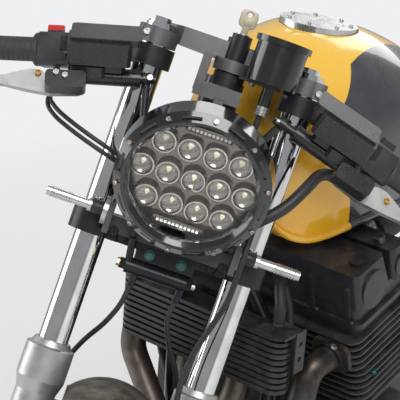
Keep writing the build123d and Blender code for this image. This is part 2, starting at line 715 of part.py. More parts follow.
def master_cylinder(side):
    """Perch clamp, cylinder and square reservoir with its lid, in front of the bar."""
    barrel = level_plane(side, 106, 40, 212)
    banjo_x, ferrule_foot = MASTER_OUTLETS[side]
    banjo = barrel.origin - barrel.x_dir * (106 - banjo_x)
    with BuildPart() as made:
        with BuildSketch(bar_plane(side, 78)):
            Circle(BAR_RADIUS + 6)
            with Locations((-44, 0)):
                Rectangle(70, 20)
            Circle(BAR_RADIUS + FIT_GAP, mode=Mode.SUBTRACT)
        extrude(amount=22)
        with BuildSketch(level_plane(side, 164, 46, 207)):
            RectangleRounded(74, 30, 5)
        extrude(amount=30)
        with BuildSketch(level_plane(side, 164, 54, 218)):
            RectangleRounded(82, 46, 5)
        extrude(amount=30)
        with BuildSketch(level_plane(side, 164, 54, 247)):
            RectangleRounded(92, 52, 6)
        extrude(amount=9)
        add(bent_bar([tuple(barrel.origin), tuple(barrel.origin + barrel.x_dir * 86)], 11.5))
        add(bent_bar([tuple(banjo - barrel.x_dir * 12), tuple(barrel.origin + barrel.x_dir)], 6))
        add(bent_bar([tuple(banjo - barrel.x_dir * 5), tuple(banjo + barrel.x_dir * 5)], 9))
        add(bent_bar([tuple(banjo), tuple(ferrule_foot)], 5))
        with BuildSketch(level_plane(side, 176, 60, 209)):
            RectangleRounded(44, 30, 5)
        extrude(amount=-14)
        with BuildSketch(lever_plane(side).offset(FIT_GAP)):
            with Locations((20, 0)):
                RectangleRounded(52, 24, 6)
        extrude(amount=22)
        with BuildSketch(lever_plane(side).offset(5)):
            with Locations((LEVER_PIVOT[0], -side * LEVER_PIVOT[1])):
                Circle(4)
        extrude(amount=-5 - LEVER_THICK - 2)
    return made


brake_master_cylinder = master_cylinder(-1)
keep(brake_master_cylinder, "brake_master_cylinder", STEERED)
clutch_master_cylinder = master_cylinder(1)
keep(clutch_master_cylinder, "clutch_master_cylinder", STEERED)

with BuildPart() as levers:
    for side in (-1, 1):
        with BuildSketch(lever_plane(side)):
            with BuildLine():
                Polyline(*[(out, -side * forward) for out, forward in LEVER_OUTLINE], close=True)
            make_face()
            fillet(vertices(), 4)
            with Locations((LEVER_PIVOT[0], -side * LEVER_PIVOT[1])):
                Circle(4 + FIT_GAP, mode=Mode.SUBTRACT)
        extrude(amount=-LEVER_THICK)
keep(levers, "levers", STEERED)

with BuildPart() as speedometer:
    with Locations((GAUGE_X, -FORK_OFFSET - GAUGE_FORWARD, GAUGE_LEVEL)):
        Cylinder(GAUGE_RADIUS, GAUGE_HEIGHT, align=BOTTOM)
    with Locations((GAUGE_X, -FORK_OFFSET - GAUGE_FORWARD, GAUGE_LEVEL + GAUGE_HEIGHT)):
        Cylinder(GAUGE_RADIUS + 3.5, 8, align=BOTTOM)
        Cylinder(GAUGE_RADIUS - 2, 8, align=BOTTOM, mode=Mode.SUBTRACT)
    with Locations((GAUGE_X, -FORK_OFFSET - GAUGE_FORWARD, GAUGE_LEVEL)):
        Cylinder(8, 30, align=(Align.CENTER, Align.CENTER, Align.MAX))
    with Locations((GAUGE_X - 14, -FORK_OFFSET - 34, GAUGE_LEVEL - FIT_GAP)):
        Box(56, 64, 4, align=(Align.CENTER, Align.CENTER, Align.MAX))
    with Locations((IGNITION_X, -FORK_OFFSET - 15, GAUGE_LEVEL)):
        Cylinder(21 + FIT_GAP, 40, mode=Mode.SUBTRACT)
keep(speedometer, "speedometer", STEERED)

with BuildPart() as ignition_switch:
    with Locations((2, -FORK_OFFSET - 15, TOP_YOKE_LEVEL - 28)):
        Cylinder(BARREL_RADIUS, 76, align=BOTTOM)
    with Locations((2, -FORK_OFFSET - 15, TOP_YOKE_LEVEL - 28)):
        Cylinder(21, 23, align=BOTTOM)
keep(ignition_switch, "ignition_switch", STEERED)

with BuildPart() as ignition_key:
    with Locations((2, -FORK_OFFSET - 15, TOP_YOKE_LEVEL + 48)):
        Box(9, 3, 14, align=BOTTOM)
    with Locations((2, -FORK_OFFSET - 15, TOP_YOKE_LEVEL + 58)):
        Box(24, 8, 25, align=BOTTOM)
keep(ignition_key, "ignition_key", STEERED)

# Front brake calipers stand behind the fork legs, drawn about the axle
CALIPER_ANGLE = 42.0
CALIPER_MIDDLE = 130.0
CALIPER_INNER_X = 38.0
CALIPER_OUTER_X = TUBE_X - 8 - FIT_GAP
DISC_CLEARANCE = 5.0
disc_middle = DISC_X + DISC_THICK / 2
caliper_turn = math.radians(CALIPER_ANGLE)
caliper_centre = (CALIPER_MIDDLE * math.cos(caliper_turn), CALIPER_MIDDLE * math.sin(caliper_turn))
CALIPER_HOSE_FOOT = (86.0, 65.0, 118.0)
CALIPER_HOSE_TOP = (86.0, 62.0, 143.0)

with BuildPart() as front_calipers:
    for side in (-1, 1):
        with BuildSketch(Plane.YZ.offset(side * CALIPER_INNER_X)):
            with Locations(Location((*caliper_centre, 0), CALIPER_ANGLE)):
                RectangleRounded(56, 96, 14)
        extrude(amount=side * (CALIPER_OUTER_X - CALIPER_INNER_X))
        with BuildSketch(Plane.YZ.offset(side * (CALIPER_OUTER_X - 15))):
            with Locations((48, 115)):
                RectangleRounded(40, 50, 6)
        extrude(amount=side * 15)
        with BuildSketch(Plane.YZ.offset(side * CALIPER_OUTER_X)):
            for along in (-8, 24):
                with Locations(Location((*caliper_centre, 0), CALIPER_ANGLE) * Pos(0, -along)):
                    Circle(14)
        extrude(amount=side * 4)
        with Locations(Location((side * disc_middle, 0, 0), (0, 90, 0))):
            Cylinder(DISC_RADIUS + 6, DISC_THICK + 2 * DISC_CLEARANCE, mode=Mode.SUBTRACT)
        foot, top = on_side(side, [CALIPER_HOSE_FOOT, CALIPER_HOSE_TOP])
        add(bent_bar([foot, top], 5))
keep(front_calipers, "front_calipers", FRONT_WHEEL)

# Hoses and cables that turn with the fork, each written as left, forward and up
caliper_hose_end = (CALIPER_HOSE_TOP[0], -CALIPER_HOSE_TOP[1], CALIPER_HOSE_TOP[2] - AXLE_DROP)
HOSE_BEHIND_LEG = [(64, -14, -138), (78, -33, -172), (86, -46, -215), (88, -54, -260), (87, -59, -302)]

with BuildPart() as brake_hoses:
    upper = ahead((-80, 44, 138), (-73, 42, 104), (-64, 46, 70), (-52, 55, 36))
    add(cord([tuple(MASTER_OUTLETS[-1][1]), *upper, SPLITTER_FERRULES[2][1]], BRAKE_HOSE_RADIUS))
    right = [(-34, 15.5, -76), (-46, 6, -108), *on_side(-1, HOSE_BEHIND_LEG), on_side(-1, [caliper_hose_end])[0]]
    add(cord([SPLITTER_FERRULES[0][1], *ahead(*right)], BRAKE_HOSE_RADIUS))
    left = [(29, 17.5, -76), (44, 4, -110), *HOSE_BEHIND_LEG, caliper_hose_end]
    add(cord([SPLITTER_FERRULES[1][1], *ahead(*left)], BRAKE_HOSE_RADIUS))
keep(brake_hoses, "brake_hoses", STEERED)

housing_face = bar_plane(1, SWITCH_START)
loom_end = housing_face.origin - housing_face.x_dir * 11 + housing_face.z_dir * 16
loom_end -= housing_face.y_dir * SWITCH_TALL / 2
loom_turn = loom_end - housing_face.y_dir * 22
throttle_face = bar_plane(-1, SWITCH_START + 16)

with BuildPart() as control_cables:
    clutch = ahead((62, 35, 162), (56, 28, 130), (48, 14, 100), (40, -8, 68))
    add(cord([tuple(MASTER_OUTLETS[1][1]), *clutch, tuple(UNION_PLACE)], 3.5))
    add(
        cord(
            ahead(
                (GAUGE_X, GAUGE_FORWARD, GAUGE_LEVEL - 30), (54, 54, 196), (60, 44, 161), (80, 52, 124),
                (94, 63, 90), (94, 79, 54), (95, 78, 14), (95, 66, -24), (87, 50, -60), (78, 38, -96),
                (73, 35, -134), (76, 41, -172), (86, 43, -216), (96, 38, -262), (101, 34, -316),
                (103, 34, -372), (103.5, 34, -418),
            ),
            4,
        )
    )
    for drop in (0, 9):
        start = throttle_face.origin + throttle_face.y_dir * SWITCH_TALL / 2 - throttle_face.x_dir * (drop + 4)
        run = ahead(
            (-214, -6 + drop, 150 - drop), (-196, 22, 138 - drop), (-164, 37, 127 - drop),
            (-126, 41, 116 - drop), (-92, 31, 107 - drop), (-68, 18, 101 - drop), (-50, 4, 96 - drop),
            (-40, -14, 91 - drop),
        )
        add(cord([tuple(start), tuple(start + throttle_face.y_dir * 22), *run], 3))
    loom = ahead((92, 62, 82), (124, 58, 112), (143, 45, 146), (158, 22, 176))
    add(cord([*loom, tuple(loom_turn), tuple(loom_end)], 8))
keep(control_cables, "control_cables", STEERED)

GUARD_ARC = 110.0
GUARD_HALF = FRONT_TYRE_WIDTH / 2 + 11

with BuildPart() as front_mudguard:
    with BuildSketch(Plane.XY):
        with BuildLine():
            for half, edge, crown in ((GUARD_HALF, -18, 13), (GUARD_HALF - 3, -18, 10)):
                ThreePointArc(
                    (-half, FRONT_TYRE_RADIUS + edge),
                    (0, FRONT_TYRE_RADIUS + crown),
                    (half, FRONT_TYRE_RADIUS + edge),
                )
            for side in (-1, 1):
                Line(
                    (side * GUARD_HALF, FRONT_TYRE_RADIUS - 18),
                    (side * (GUARD_HALF - 3), FRONT_TYRE_RADIUS - 18),
                )
        make_face()
    revolve(axis=Axis.X, revolution_arc=GUARD_ARC)
    for side in (-1, 1):
        with BuildSketch(Plane.YZ.offset(side * GUARD_HALF)):
            with Locations((0, FRONT_TYRE_RADIUS - 36)):
                RectangleRounded(34, 44, 8)
        extrude(amount=-side * 3)
        with BuildSketch(Plane.YZ.offset(side * (GUARD_HALF - 1))):
            with Locations((0, AXLE_DROP + SLIDER_TOP - 74)):
                Circle(9)
        extrude(amount=side * (TUBE_X - SLIDER_RADIUS - FIT_GAP - GUARD_HALF + 1))
keep(front_mudguard, "front_mudguard", FRONT_WHEEL)

# Frame, drawn upright
FRAME_TUBE = 15.0
HEAD_TUBE_FOOT = BOTTOM_YOKE_THICK + 1
HEAD_TUBE_LENGTH = 216.0
DOWN_TUBE_X = 88.0
CRADLE_Z = 215.0
PLATE_X = 122.0
SPINE_ROUTE = [(12, -404, 858), (46, -310, 826), (60, 60, 742), (112, 170, 620), (PLATE_X, 200, 400)]
CRADLE_ROUTE = [
    (12, -422, 800),
    (DOWN_TUBE_X, -328, 560),
    (DOWN_TUBE_X, -318, CRADLE_Z),
    (PLATE_X, 110, CRADLE_Z),
    (PLATE_X, SWINGARM_PIVOT_Y, SWINGARM_PIVOT_Z),
]
SWINGARM_PIVOT = Location((0, SWINGARM_PIVOT_Y, SWINGARM_PIVOT_Z), (0, 90, 0))
REAR_AXLE = Location((0, REAR_AXLE_Y, REAR_TYRE_RADIUS), (0, 90, 0))


# Under the tank a tunnel clears the spine tubes, its roof falling toward the seat
TUNNEL_HALF = 78.0
TUNNEL_FRONT_Y = -300.0
TUNNEL_FRONT_Z = 862.0
TUNNEL_FALL = 0.18
TANK_PUCK_Y = -285.0

# Side stand: its leg runs down, outward and forward from a lug on the left cradle tube
STAND_PIVOT = Vector(PLATE_X + 26, 20, CRADLE_Z + 2)
STAND_EYE = 18.0
pivot_parked = (PARKED * Pos(*STAND_PIVOT)).position
foot_parked = pivot_parked + Vector(STAND_REACH, -STAND_FORWARD, -pivot_parked.Z)
foot_upright = (PARKED.inverse() * Pos(*foot_parked)).position
leg_line = (foot_upright - STAND_PIVOT).normalized()
folded_line = Vector(0.12, 0.98, 0.1).normalized()
stand_axis = leg_line.cross(folded_line).normalized()


def tunnel_roof(y):
    """Height of the tank's tunnel roof at a place along the bike."""
    return TUNNEL_FRONT_Z - TUNNEL_FALL * (y - TUNNEL_FRONT_Y)


with BuildPart() as frame:
    with Locations(STEER * Pos(0, 0, HEAD_TUBE_FOOT)):
        Cylinder(HEAD_TUBE_RADIUS, HEAD_TUBE_LENGTH, align=BOTTOM)
    for side in (-1, 1):
        add(bent_bar(on_side(side, SPINE_ROUTE), FRAME_TUBE, [60, 70, 90]))
        add(bent_bar(on_side(side, CRADLE_ROUTE), FRAME_TUBE - 1, [150, 90, 90]))
        with BuildSketch(Plane.YZ.offset(side * (PLATE_X - 15))):
            with Locations((SWINGARM_PIVOT_Y - 10, SWINGARM_PIVOT_Z + 15)):
                RectangleRounded(70, 150, 20)
        extrude(amount=side * 21)
    with Locations(Location((0, 40, CRADLE_Z), (0, 90, 0))):
        Cylinder(12, 2 * PLATE_X - 16)
    with Locations(Location((0, 60, 742), (0, 90, 0))):
        Cylinder(11, 110)
    with Locations(Location((0, TANK_PUCK_Y, tunnel_roof(TANK_PUCK_Y) - 34), (0, 90, 0))):
        Cylinder(13, 2 * (TUNNEL_HALF - FIT_GAP))
    with BuildSketch(Plane.YZ.offset(-30)):
        Polygon(
            (48, 742),
            (48, tunnel_roof(48) - FIT_GAP),
            (72, tunnel_roof(72) - FIT_GAP),
            (72, 742),
            align=None,
        )
    extrude(amount=60)
    with BuildSketch(Plane(STAND_PIVOT - stand_axis * (STAND_EYE / 2 + FIT_GAP), z_dir=-stand_axis)):
        Circle(14)
    extrude(amount=26)
    with BuildSketch(Plane(STAND_PIVOT - stand_axis * (STAND_EYE / 2 + 2), z_dir=stand_axis)):
        Circle(6)
    extrude(amount=STAND_EYE + 6)
    with Locations(STEER * Pos(0, 0, HEAD_TUBE_FOOT)):
        Cylinder(STEM_RADIUS + FIT_GAP, HEAD_TUBE_LENGTH, align=BOTTOM, mode=Mode.SUBTRACT)
    with Locations(SWINGARM_PIVOT):
        Cylinder(AXLE_RADIUS + FIT_GAP, 400, mode=Mode.SUBTRACT)
keep(frame, "frame", PARKED)

SHOCK_X = 150.0
SHOCK_TOP = (SHOCK_X, 455.0, 712.0)
SHOCK_FOOT = (SHOCK_X, 640.0, REAR_TYRE_RADIUS + 64)
RAIL_Z = 772.0
RAIL_RADIUS = 12.0
SEAT_RAIL_ROUTE = [(62, 84, 757), (100, 220, RAIL_Z), (112, 480, RAIL_Z), (92, 690, RAIL_Z)]

with BuildPart() as subframe:
    for side in (-1, 1):
        add(bent_bar(on_side(side, SEAT_RAIL_ROUTE), RAIL_RADIUS, [120, 200]))
        add(bent_bar(on_side(side, [(PLATE_X, 208, 415), (112, 470, 770)]), 10))
        with BuildSketch(Plane.YZ.offset(side * (SHOCK_X - 26) - 6)):
            with Locations((SHOCK_TOP[1], SHOCK_TOP[2] + 32)):
                RectangleRounded(36, 84, 14)
        extrude(amount=12)
        with Locations(Location((side * (SHOCK_X - 10), SHOCK_TOP[1], SHOCK_TOP[2]), (0, 90, 0))):
            Cylinder(8, 40)
    with Locations(Location((0, 680, RAIL_Z), (0, 90, 0)), Location((0, 330, RAIL_Z), (0, 90, 0))):
        Cylinder(11, 190)
    add(frame.part, mode=Mode.SUBTRACT)
keep(subframe, "subframe", PARKED)

# Engine: four cylinders in line across the frame, leaning a little forward
CRANK_Y = -159.0
CRANK_Z = 376.0
CYLINDER_TILT = 15.0
CYLINDER_PITCH = 108.0
BLOCK_FOOT = 96.0
HEAD_FOOT = 182.0
COVER_FOOT = 262.0
COVER_TOP = 346.0
SPROCKET_WALL_X = 84.0
tilt = math.radians(CYLINDER_TILT)


def cylinder_plane(height):
    """A plane square to the cylinders, at a height up their axis from the crankshaft."""
    axis = Vector(0, -math.sin(tilt), math.cos(tilt))
    return Plane(Vector(0, CRANK_Y, CRANK_Z) + axis * height, x_dir=(1, 0, 0), z_dir=axis)


def cylinder_place(x, forward, height):
    """A point given across the engine, forward of the cylinder line and up their axis."""
    plane = cylinder_plane(height)
    return plane.origin + plane.x_dir * x - plane.y_dir * forward


with BuildPart() as crankcase:
    with BuildSketch(Plane.YZ.offset(-165)):
        with BuildLine():
            FilletPolyline(
                (-268, 300),
                (-268, 420),
                tuple(cylinder_place(0, 80, BLOCK_FOOT))[1:],
                tuple(cylinder_place(0, -80, BLOCK_FOOT))[1:],
                (30, 462),
                (150, 440),
                (160, 380),
                (152, 290),
                (90, 252),
                (-60, 246),
                (-220, 252),
                radius=14,
                close=True,
            )
        make_face()
    extrude(amount=330)
    with Locations((SPROCKET_WALL_X, 36, 150)):
        Box(200, 300, 500, align=(Align.MIN, Align.MIN, Align.MIN), mode=Mode.SUBTRACT)
keep(crankcase, "crankcase", PARKED)

with BuildPart() as engine_covers:
    for x, y, z, radius, depth in (
        (165, CRANK_Y, CRANK_Z, 78, 44),
        (-165, CRANK_Y, CRANK_Z, 56, 38),
        (-165, -20, 350, 78, 50),
    ):
        with BuildSketch(Plane((x, y, z), x_dir=(0, 1, 0), z_dir=(math.copysign(1, x), 0, 0))):
            Circle(radius)
        extrude(amount=depth)
    with Locations((SPROCKET_WALL_X + 26, 36, 290)):
        Box(20, 106, 112, align=(Align.MIN, Align.MIN, Align.MIN))
keep(engine_covers, "engine_covers", PARKED)

with BuildPart() as cylinder_block:
    with BuildSketch(cylinder_plane(BLOCK_FOOT)):
        RectangleRounded(380, 104, 16)
    extrude(amount=HEAD_FOOT - BLOCK_FOOT)
    for fin in range(6):
        with BuildSketch(cylinder_plane(BLOCK_FOOT + 18 + fin * 11.5)):
            RectangleRounded(398, 136, 22)
        extrude(amount=3)
keep(cylinder_block, "cylinder_block", PARKED)

with BuildPart() as cylinder_head:
    with BuildSketch(cylinder_plane(HEAD_FOOT)):
        RectangleRounded(384, 112, 14)
    extrude(amount=COVER_FOOT - HEAD_FOOT)
    for fin in range(5):
        with BuildSketch(cylinder_plane(HEAD_FOOT + 6 + fin * 11.5)):
            RectangleRounded(400, 150, 20)
        extrude(amount=3)
keep(cylinder_head, "cylinder_head", PARKED)

CAM_BOXES = ((26, 78, COVER_TOP), (-42, 44, COVER_TOP - 8))

with BuildPart() as valve_cover:
    with BuildSketch(cylinder_plane(COVER_FOOT)):
        RectangleRounded(410, 136, 10)
    extrude(amount=8)
    with BuildSketch(cylinder_plane(COVER_FOOT + 8)):
        RectangleRounded(398, 128, 10)
    extrude(amount=26)
    for forward, depth, top in CAM_BOXES:
        for height, shrink in ((COVER_FOOT + 30, 0), (top, 10)):
            with BuildSketch(cylinder_plane(height)):
                with Locations((0, -forward)):
                    RectangleRounded(408 - shrink, depth - shrink, 9)
        loft()
        for side in (-1, 1):
            with BuildSketch(Plane(cylinder_place(side * 199, forward, COVER_FOOT + 46), z_dir=(side, 0, 0))):
                Circle(depth * 0.36)
            extrude(amount=5)
    for rib in range(7):
        with BuildSketch(cylinder_plane(COVER_FOOT + 8)):
            with Locations(((rib - 3) * 62, -65)):
                Rectangle(6, 8)
        extrude(amount=56)
    for x in (-120, 40, 178):
        with BuildSketch(cylinder_plane(COVER_TOP - 2)):
            with Locations((x, -26)):
                Circle(13)
        extrude(amount=6)
keep(valve_cover, "valve_cover", PARKED)


def intake_plane(x, rearward, height):
    """A plane square to the intake tracts, which run rearward from the head."""
    place = cylinder_place(x, -rearward, height)
    return Plane(place, x_dir=(1, 0, 0), z_dir=cylinder_plane(0).y_dir)


INTAKE_HEIGHT = HEAD_FOOT + 52
with BuildPart() as carburettors:
    for number in range(4):
        x = (number - 1.5) * CYLINDER_PITCH
        with BuildSketch(intake_plane(x, 75 + FIT_GAP, INTAKE_HEIGHT)):
            Circle(22)
        extrude(amount=95)
        with BuildSketch(intake_plane(x, 100, INTAKE_HEIGHT)):
            RectangleRounded(60, 84, 10)
        extrude(amount=48)
    with BuildSketch(Plane.YZ.offset(-1.5 * CYLINDER_PITCH)):
        with Locations((-60, 640)):
            Circle(7)
    extrude(amount=3 * CYLINDER_PITCH)
keep(carburettors, "carburettors", PARKED)

with BuildPart() as air_filters:
    for number in range(4):
        x = (number - 1.5) * CYLINDER_PITCH
        with BuildSketch(intake_plane(x, 171 + FIT_GAP, INTAKE_HEIGHT)):
            Circle(30)
        with BuildSketch(intake_plane(x, 250, INTAKE_HEIGHT)):
            Circle(38)
        loft()
keep(air_filters, "air_filters", PARKED)

# Four header pipes run down in front of the engine, the outer two crossing inward in front of
# the down tubes, to a collector and silencer on the right
HEADER_RADIUS = 19.0
HEADER_Y = -368.0
HEADER_Z = 168.0
COLLECTOR_PITCH = 41.0
with BuildPart() as exhaust_headers:
    for number in range(4):
        rank = number - 1.5
        x = rank * CYLINDER_PITCH
        drop_x = x - math.copysign(10, x)
        under_x = rank * COLLECTOR_PITCH
        port = cylinder_place(x, 76, HEAD_FOOT + 30)
        mouth = cylinder_place(x, 84, HEAD_FOOT + 30)
        add(
            bent_bar(
                [
                    tuple(mouth),
                    (x - math.copysign(6, x), -333, port.Z - (port.Y + 333) * math.tan(tilt)),
                    (drop_x, -350, 476),
                    (under_x * 1.25, HEADER_Y, 388),
                    (under_x, HEADER_Y, 300),
                    (under_x, HEADER_Y, HEADER_Z),
                    (under_x, 60, HEADER_Z),
                ],
                HEADER_RADIUS,
                [24, 50, 50, 60, 70],
            )
        )
        with BuildSketch(Plane(port, x_dir=(1, 0, 0), z_dir=-cylinder_plane(0).y_dir)):
            RectangleRounded(62, 44, 12)
        extrude(amount=8)
        with BuildSketch(Plane(port, x_dir=(1, 0, 0), z_dir=-cylinder_plane(0).y_dir).offset(8)):
            Circle(HEADER_RADIUS + 4)
        extrude(amount=6)
keep(exhaust_headers, "exhaust_headers", PARKED)

SILENCER_START = Vector(-186, 340, 228)
SILENCER_LINE = Vector(-0.02, 0.98, 0.17).normalized()
SILENCER_LENGTH = 330.0
with BuildPart() as silencer:
    with BuildSketch(Plane.XZ.offset(-61)):
        with Locations((0, 168)):
            RectangleRounded(176, 52, 24)
    with BuildSketch(Plane.XZ.offset(-150)):
        with Locations((-70, 178)):
            RectangleRounded(90, 50, 24)
    loft()
    add(bent_bar([(-70, 145, 178), (-160, 215, 198), tuple(SILENCER_START + SILENCER_LINE)], 25, [60]))
    with BuildSketch(Plane(SILENCER_START, x_dir=(1, 0, 0), z_dir=SILENCER_LINE)):
        Circle(47)
    extrude(amount=SILENCER_LENGTH)
keep(silencer, "silencer", PARKED)

with BuildPart() as oil_cooler:
    for row in range(COOLER_ROWS):
        with BuildSketch(Plane.XY.offset(COOLER_Z + (row - (COOLER_ROWS - 1) / 2) * COOLER_ROW_PITCH - 2.8)):
            with Locations((COOLER_X, COOLER_Y)):
                SlotOverall(COOLER_WIDTH, COOLER_DEPTH)
        extrude(amount=5.6)
    foot = COOLER_Z - (COOLER_ROWS - 1) / 2 * COOLER_ROW_PITCH
    tall = (COOLER_ROWS - 1) * COOLER_ROW_PITCH
    with Locations((COOLER_X, COOLER_Y, foot)):
        Box(COOLER_WIDTH - 60, COOLER_DEPTH - 12, tall, align=BOTTOM)
    for side in (-1, 1):
        with Locations((COOLER_X + side * (COOLER_WIDTH / 2 - COOLER_DEPTH / 2), COOLER_Y, foot)):
            Cylinder(13, tall + 9, align=BOTTOM)
            Cylinder(8, tall + 18, align=BOTTOM)
        with Locations((side * 82, COOLER_Y + 12, COOLER_Z + 24)):
            Box(22, 44, 8, align=(Align.CENTER, Align.MIN, Align.CENTER))
    with Locations((COOLER_X + COOLER_WIDTH / 2 - 18, COOLER_Y, foot + tall + 4)):
        Box(52, COOLER_DEPTH + 4, 4, align=BOTTOM)
    with Locations((COOLER_X + COOLER_WIDTH / 2 + 8, COOLER_Y + 14, foot + tall + 8)):
        Box(3, 22, 62, align=(Align.CENTER, Align.CENTER, Align.MAX))
    with Locations(*[(COOLER_X + COOLER_WIDTH / 2 + 8, COOLER_Y + 14, foot + tall - drop) for drop in (12, 34)]):
        Cylinder(4, 20, rotation=(0, 90, 0), mode=Mode.SUBTRACT)
    add(frame.part, mode=Mode.SUBTRACT)
keep(oil_cooler, "oil_cooler", PARKED)

# Oil lines rise from the cooler's ends, turn down behind it and run to the crankcase
OIL_LINE_RADIUS = 8.0
with BuildPart() as oil_lines:
    for side in (-1, 1):
        end = COOLER_X + side * (COOLER_WIDTH / 2 - COOLER_DEPTH / 2)
        route = [
            (end, COOLER_Y, foot + tall + 18),
            (end, COOLER_Y, foot + tall + 42),
            (side * 120, -374, 676),
            (side * 108, -354, 677),
            (side * 112, -339, 640),
            (side * 118, -337, 590),
            (side * 120, -330, 530),
            (side * 120, -318, 474),
            (side * 119, -304, 436),
            (side * 118, -288, 412),
            (side * 118, -268, 412),
        ]
        add(cord(route, OIL_LINE_RADIUS))
keep(oil_lines, "oil_lines", PARKED)

# Fuel tank: each row is a station along the bike, its half width, top and bottom
TANK_STATIONS = (
    (-352, 84, 888, TANK_BOTTOM + 12),
    (-300, 124, 948, TANK_BOTTOM - 14),
    (-200, 148, 985, TANK_BOTTOM - 2),
    (-80, 152, 962, TANK_BOTTOM + 2),
    (20, 120, 908, TANK_BOTTOM + 18),
    (84, 82, 850, TANK_BOTTOM + 40),
)
TANK_BEAD = 12.0
CAP_TILT = 9.0
CAP_THICK = 9.0
LID_RADIUS = 35.0
CAP_SEAT = Location((0, CAP_Y, 974), (-CAP_TILT, 0, 0))

with BuildPart() as fuel_tank:
    for station, half, top, bottom in TANK_STATIONS:
        tall = top - bottom
        with BuildSketch(Plane.XZ.offset(-station)):
            with BuildLine():
                Line((0, bottom), (half * 0.93, bottom))
                ThreePointArc(
                    (half * 0.93, bottom),
                    (half, bottom + tall * 0.38),
                    (half * 0.82, bottom + tall * 0.77),
                )
                ThreePointArc(
                    (half * 0.82, bottom + tall * 0.77),
                    (half * 0.46, bottom + tall * 0.95),
                    (0, top),
                )
                mirror(about=Plane.YZ)
            make_face()
    loft()
    for side in (-1, 1):
        for station, half, top, bottom in TANK_STATIONS:
            with BuildSketch(Plane.XZ.offset(-station)):
                with Locations((side * (half * 0.93 - 4), bottom + TANK_BEAD / 2)):
                    RectangleRounded(24, TANK_BEAD, TANK_BEAD * 0.45)
        loft()
    with BuildSketch(Plane.YZ.offset(-TUNNEL_HALF)):
        Polygon(
            (-420, 700), (-420, tunnel_roof(-420)), (120, tunnel_roof(120)), (120, 700), align=None
        )
    extrude(amount=2 * TUNNEL_HALF, mode=Mode.SUBTRACT)
    with Locations(CAP_SEAT):
        Cylinder(CAP_RADIUS + 2, 60, align=BOTTOM, mode=Mode.SUBTRACT)
    with Locations(CAP_SEAT * Pos(0, 0, -40)):
        Cylinder(28, 60, align=BOTTOM, mode=Mode.SUBTRACT)
keep(fuel_tank, "fuel_tank", PARKED)

with BuildPart() as filler_ring:
    with Locations(CAP_SEAT * Pos(0, 0, FIT_GAP)):
        Cylinder(CAP_RADIUS, CAP_THICK, align=BOTTOM)
        Cylinder(LID_RADIUS + 0.6, CAP_THICK, align=BOTTOM, mode=Mode.SUBTRACT)
keep(filler_ring, "filler_ring", PARKED)

with BuildPart() as filler_cap:
    with Locations(CAP_SEAT * Pos(0, 0, FIT_GAP)):
        Cylinder(LID_RADIUS, CAP_THICK, align=BOTTOM)
    with Locations(CAP_SEAT * Pos(0, 0, -12)):
        Cylinder(20, 14, align=BOTTOM)
keep(filler_cap, "filler_cap", PARKED)

SEAT_OUTLINE = [(-76, 100), (-118, 380), (-104, 520), (104, 520), (118, 380), (76, 100)]
SEAT_BASE_THICK = 6.0
SEAT_LEVEL = RAIL_Z + RAIL_RADIUS + 2 * FIT_GAP + SEAT_BASE_THICK

with BuildPart() as seat_base:
    with BuildSketch(Plane.XY.offset(RAIL_Z + RAIL_RADIUS + FIT_GAP)):
        with BuildLine():
            FilletPolyline(
                (-70, 104), (-112, 380), (-96, 560), (-52, 728), (52, 728), (96, 560), (112, 380), (70, 104),
                radius=24, close=True,
            )
        make_face()
    extrude(amount=SEAT_BASE_THICK)
keep(seat_base, "seat_base", PARKED)

with BuildPart() as seat:
    with BuildSketch(Plane.XY.offset(SEAT_LEVEL)):
        with BuildLine():
            FilletPolyline(*SEAT_OUTLINE, radius=30, close=True)
        make_face()
    extrude(amount=SEAT_THICK)
    fillet(seat.edges().group_by(Axis.Z)[-1], 16)
keep(seat, "seat", PARKED)

with BuildPart() as tail_cowl:
    for station, half, bottom, top in ((526, 106, 0, 122), (640, 88, 0, 112), (735, 55, 8, 76)):
        with BuildSketch(Plane.XZ.offset(-station)):
            with Locations((0, SEAT_LEVEL + (bottom + top) / 2)):
                RectangleRounded(2 * half, top - bottom, (top - bottom) * 0.3)
    loft(ruled=True)
keep(tail_cowl, "tail_cowl", PARKED)

with BuildPart() as tail_light:
    with Locations((0, 741.8, SEAT_LEVEL + 42)):
        Box(80, 13, 34)
keep(tail_light, "tail_light", PARKED)

# Swingarm, shocks and chain
ARM_X = 122.0

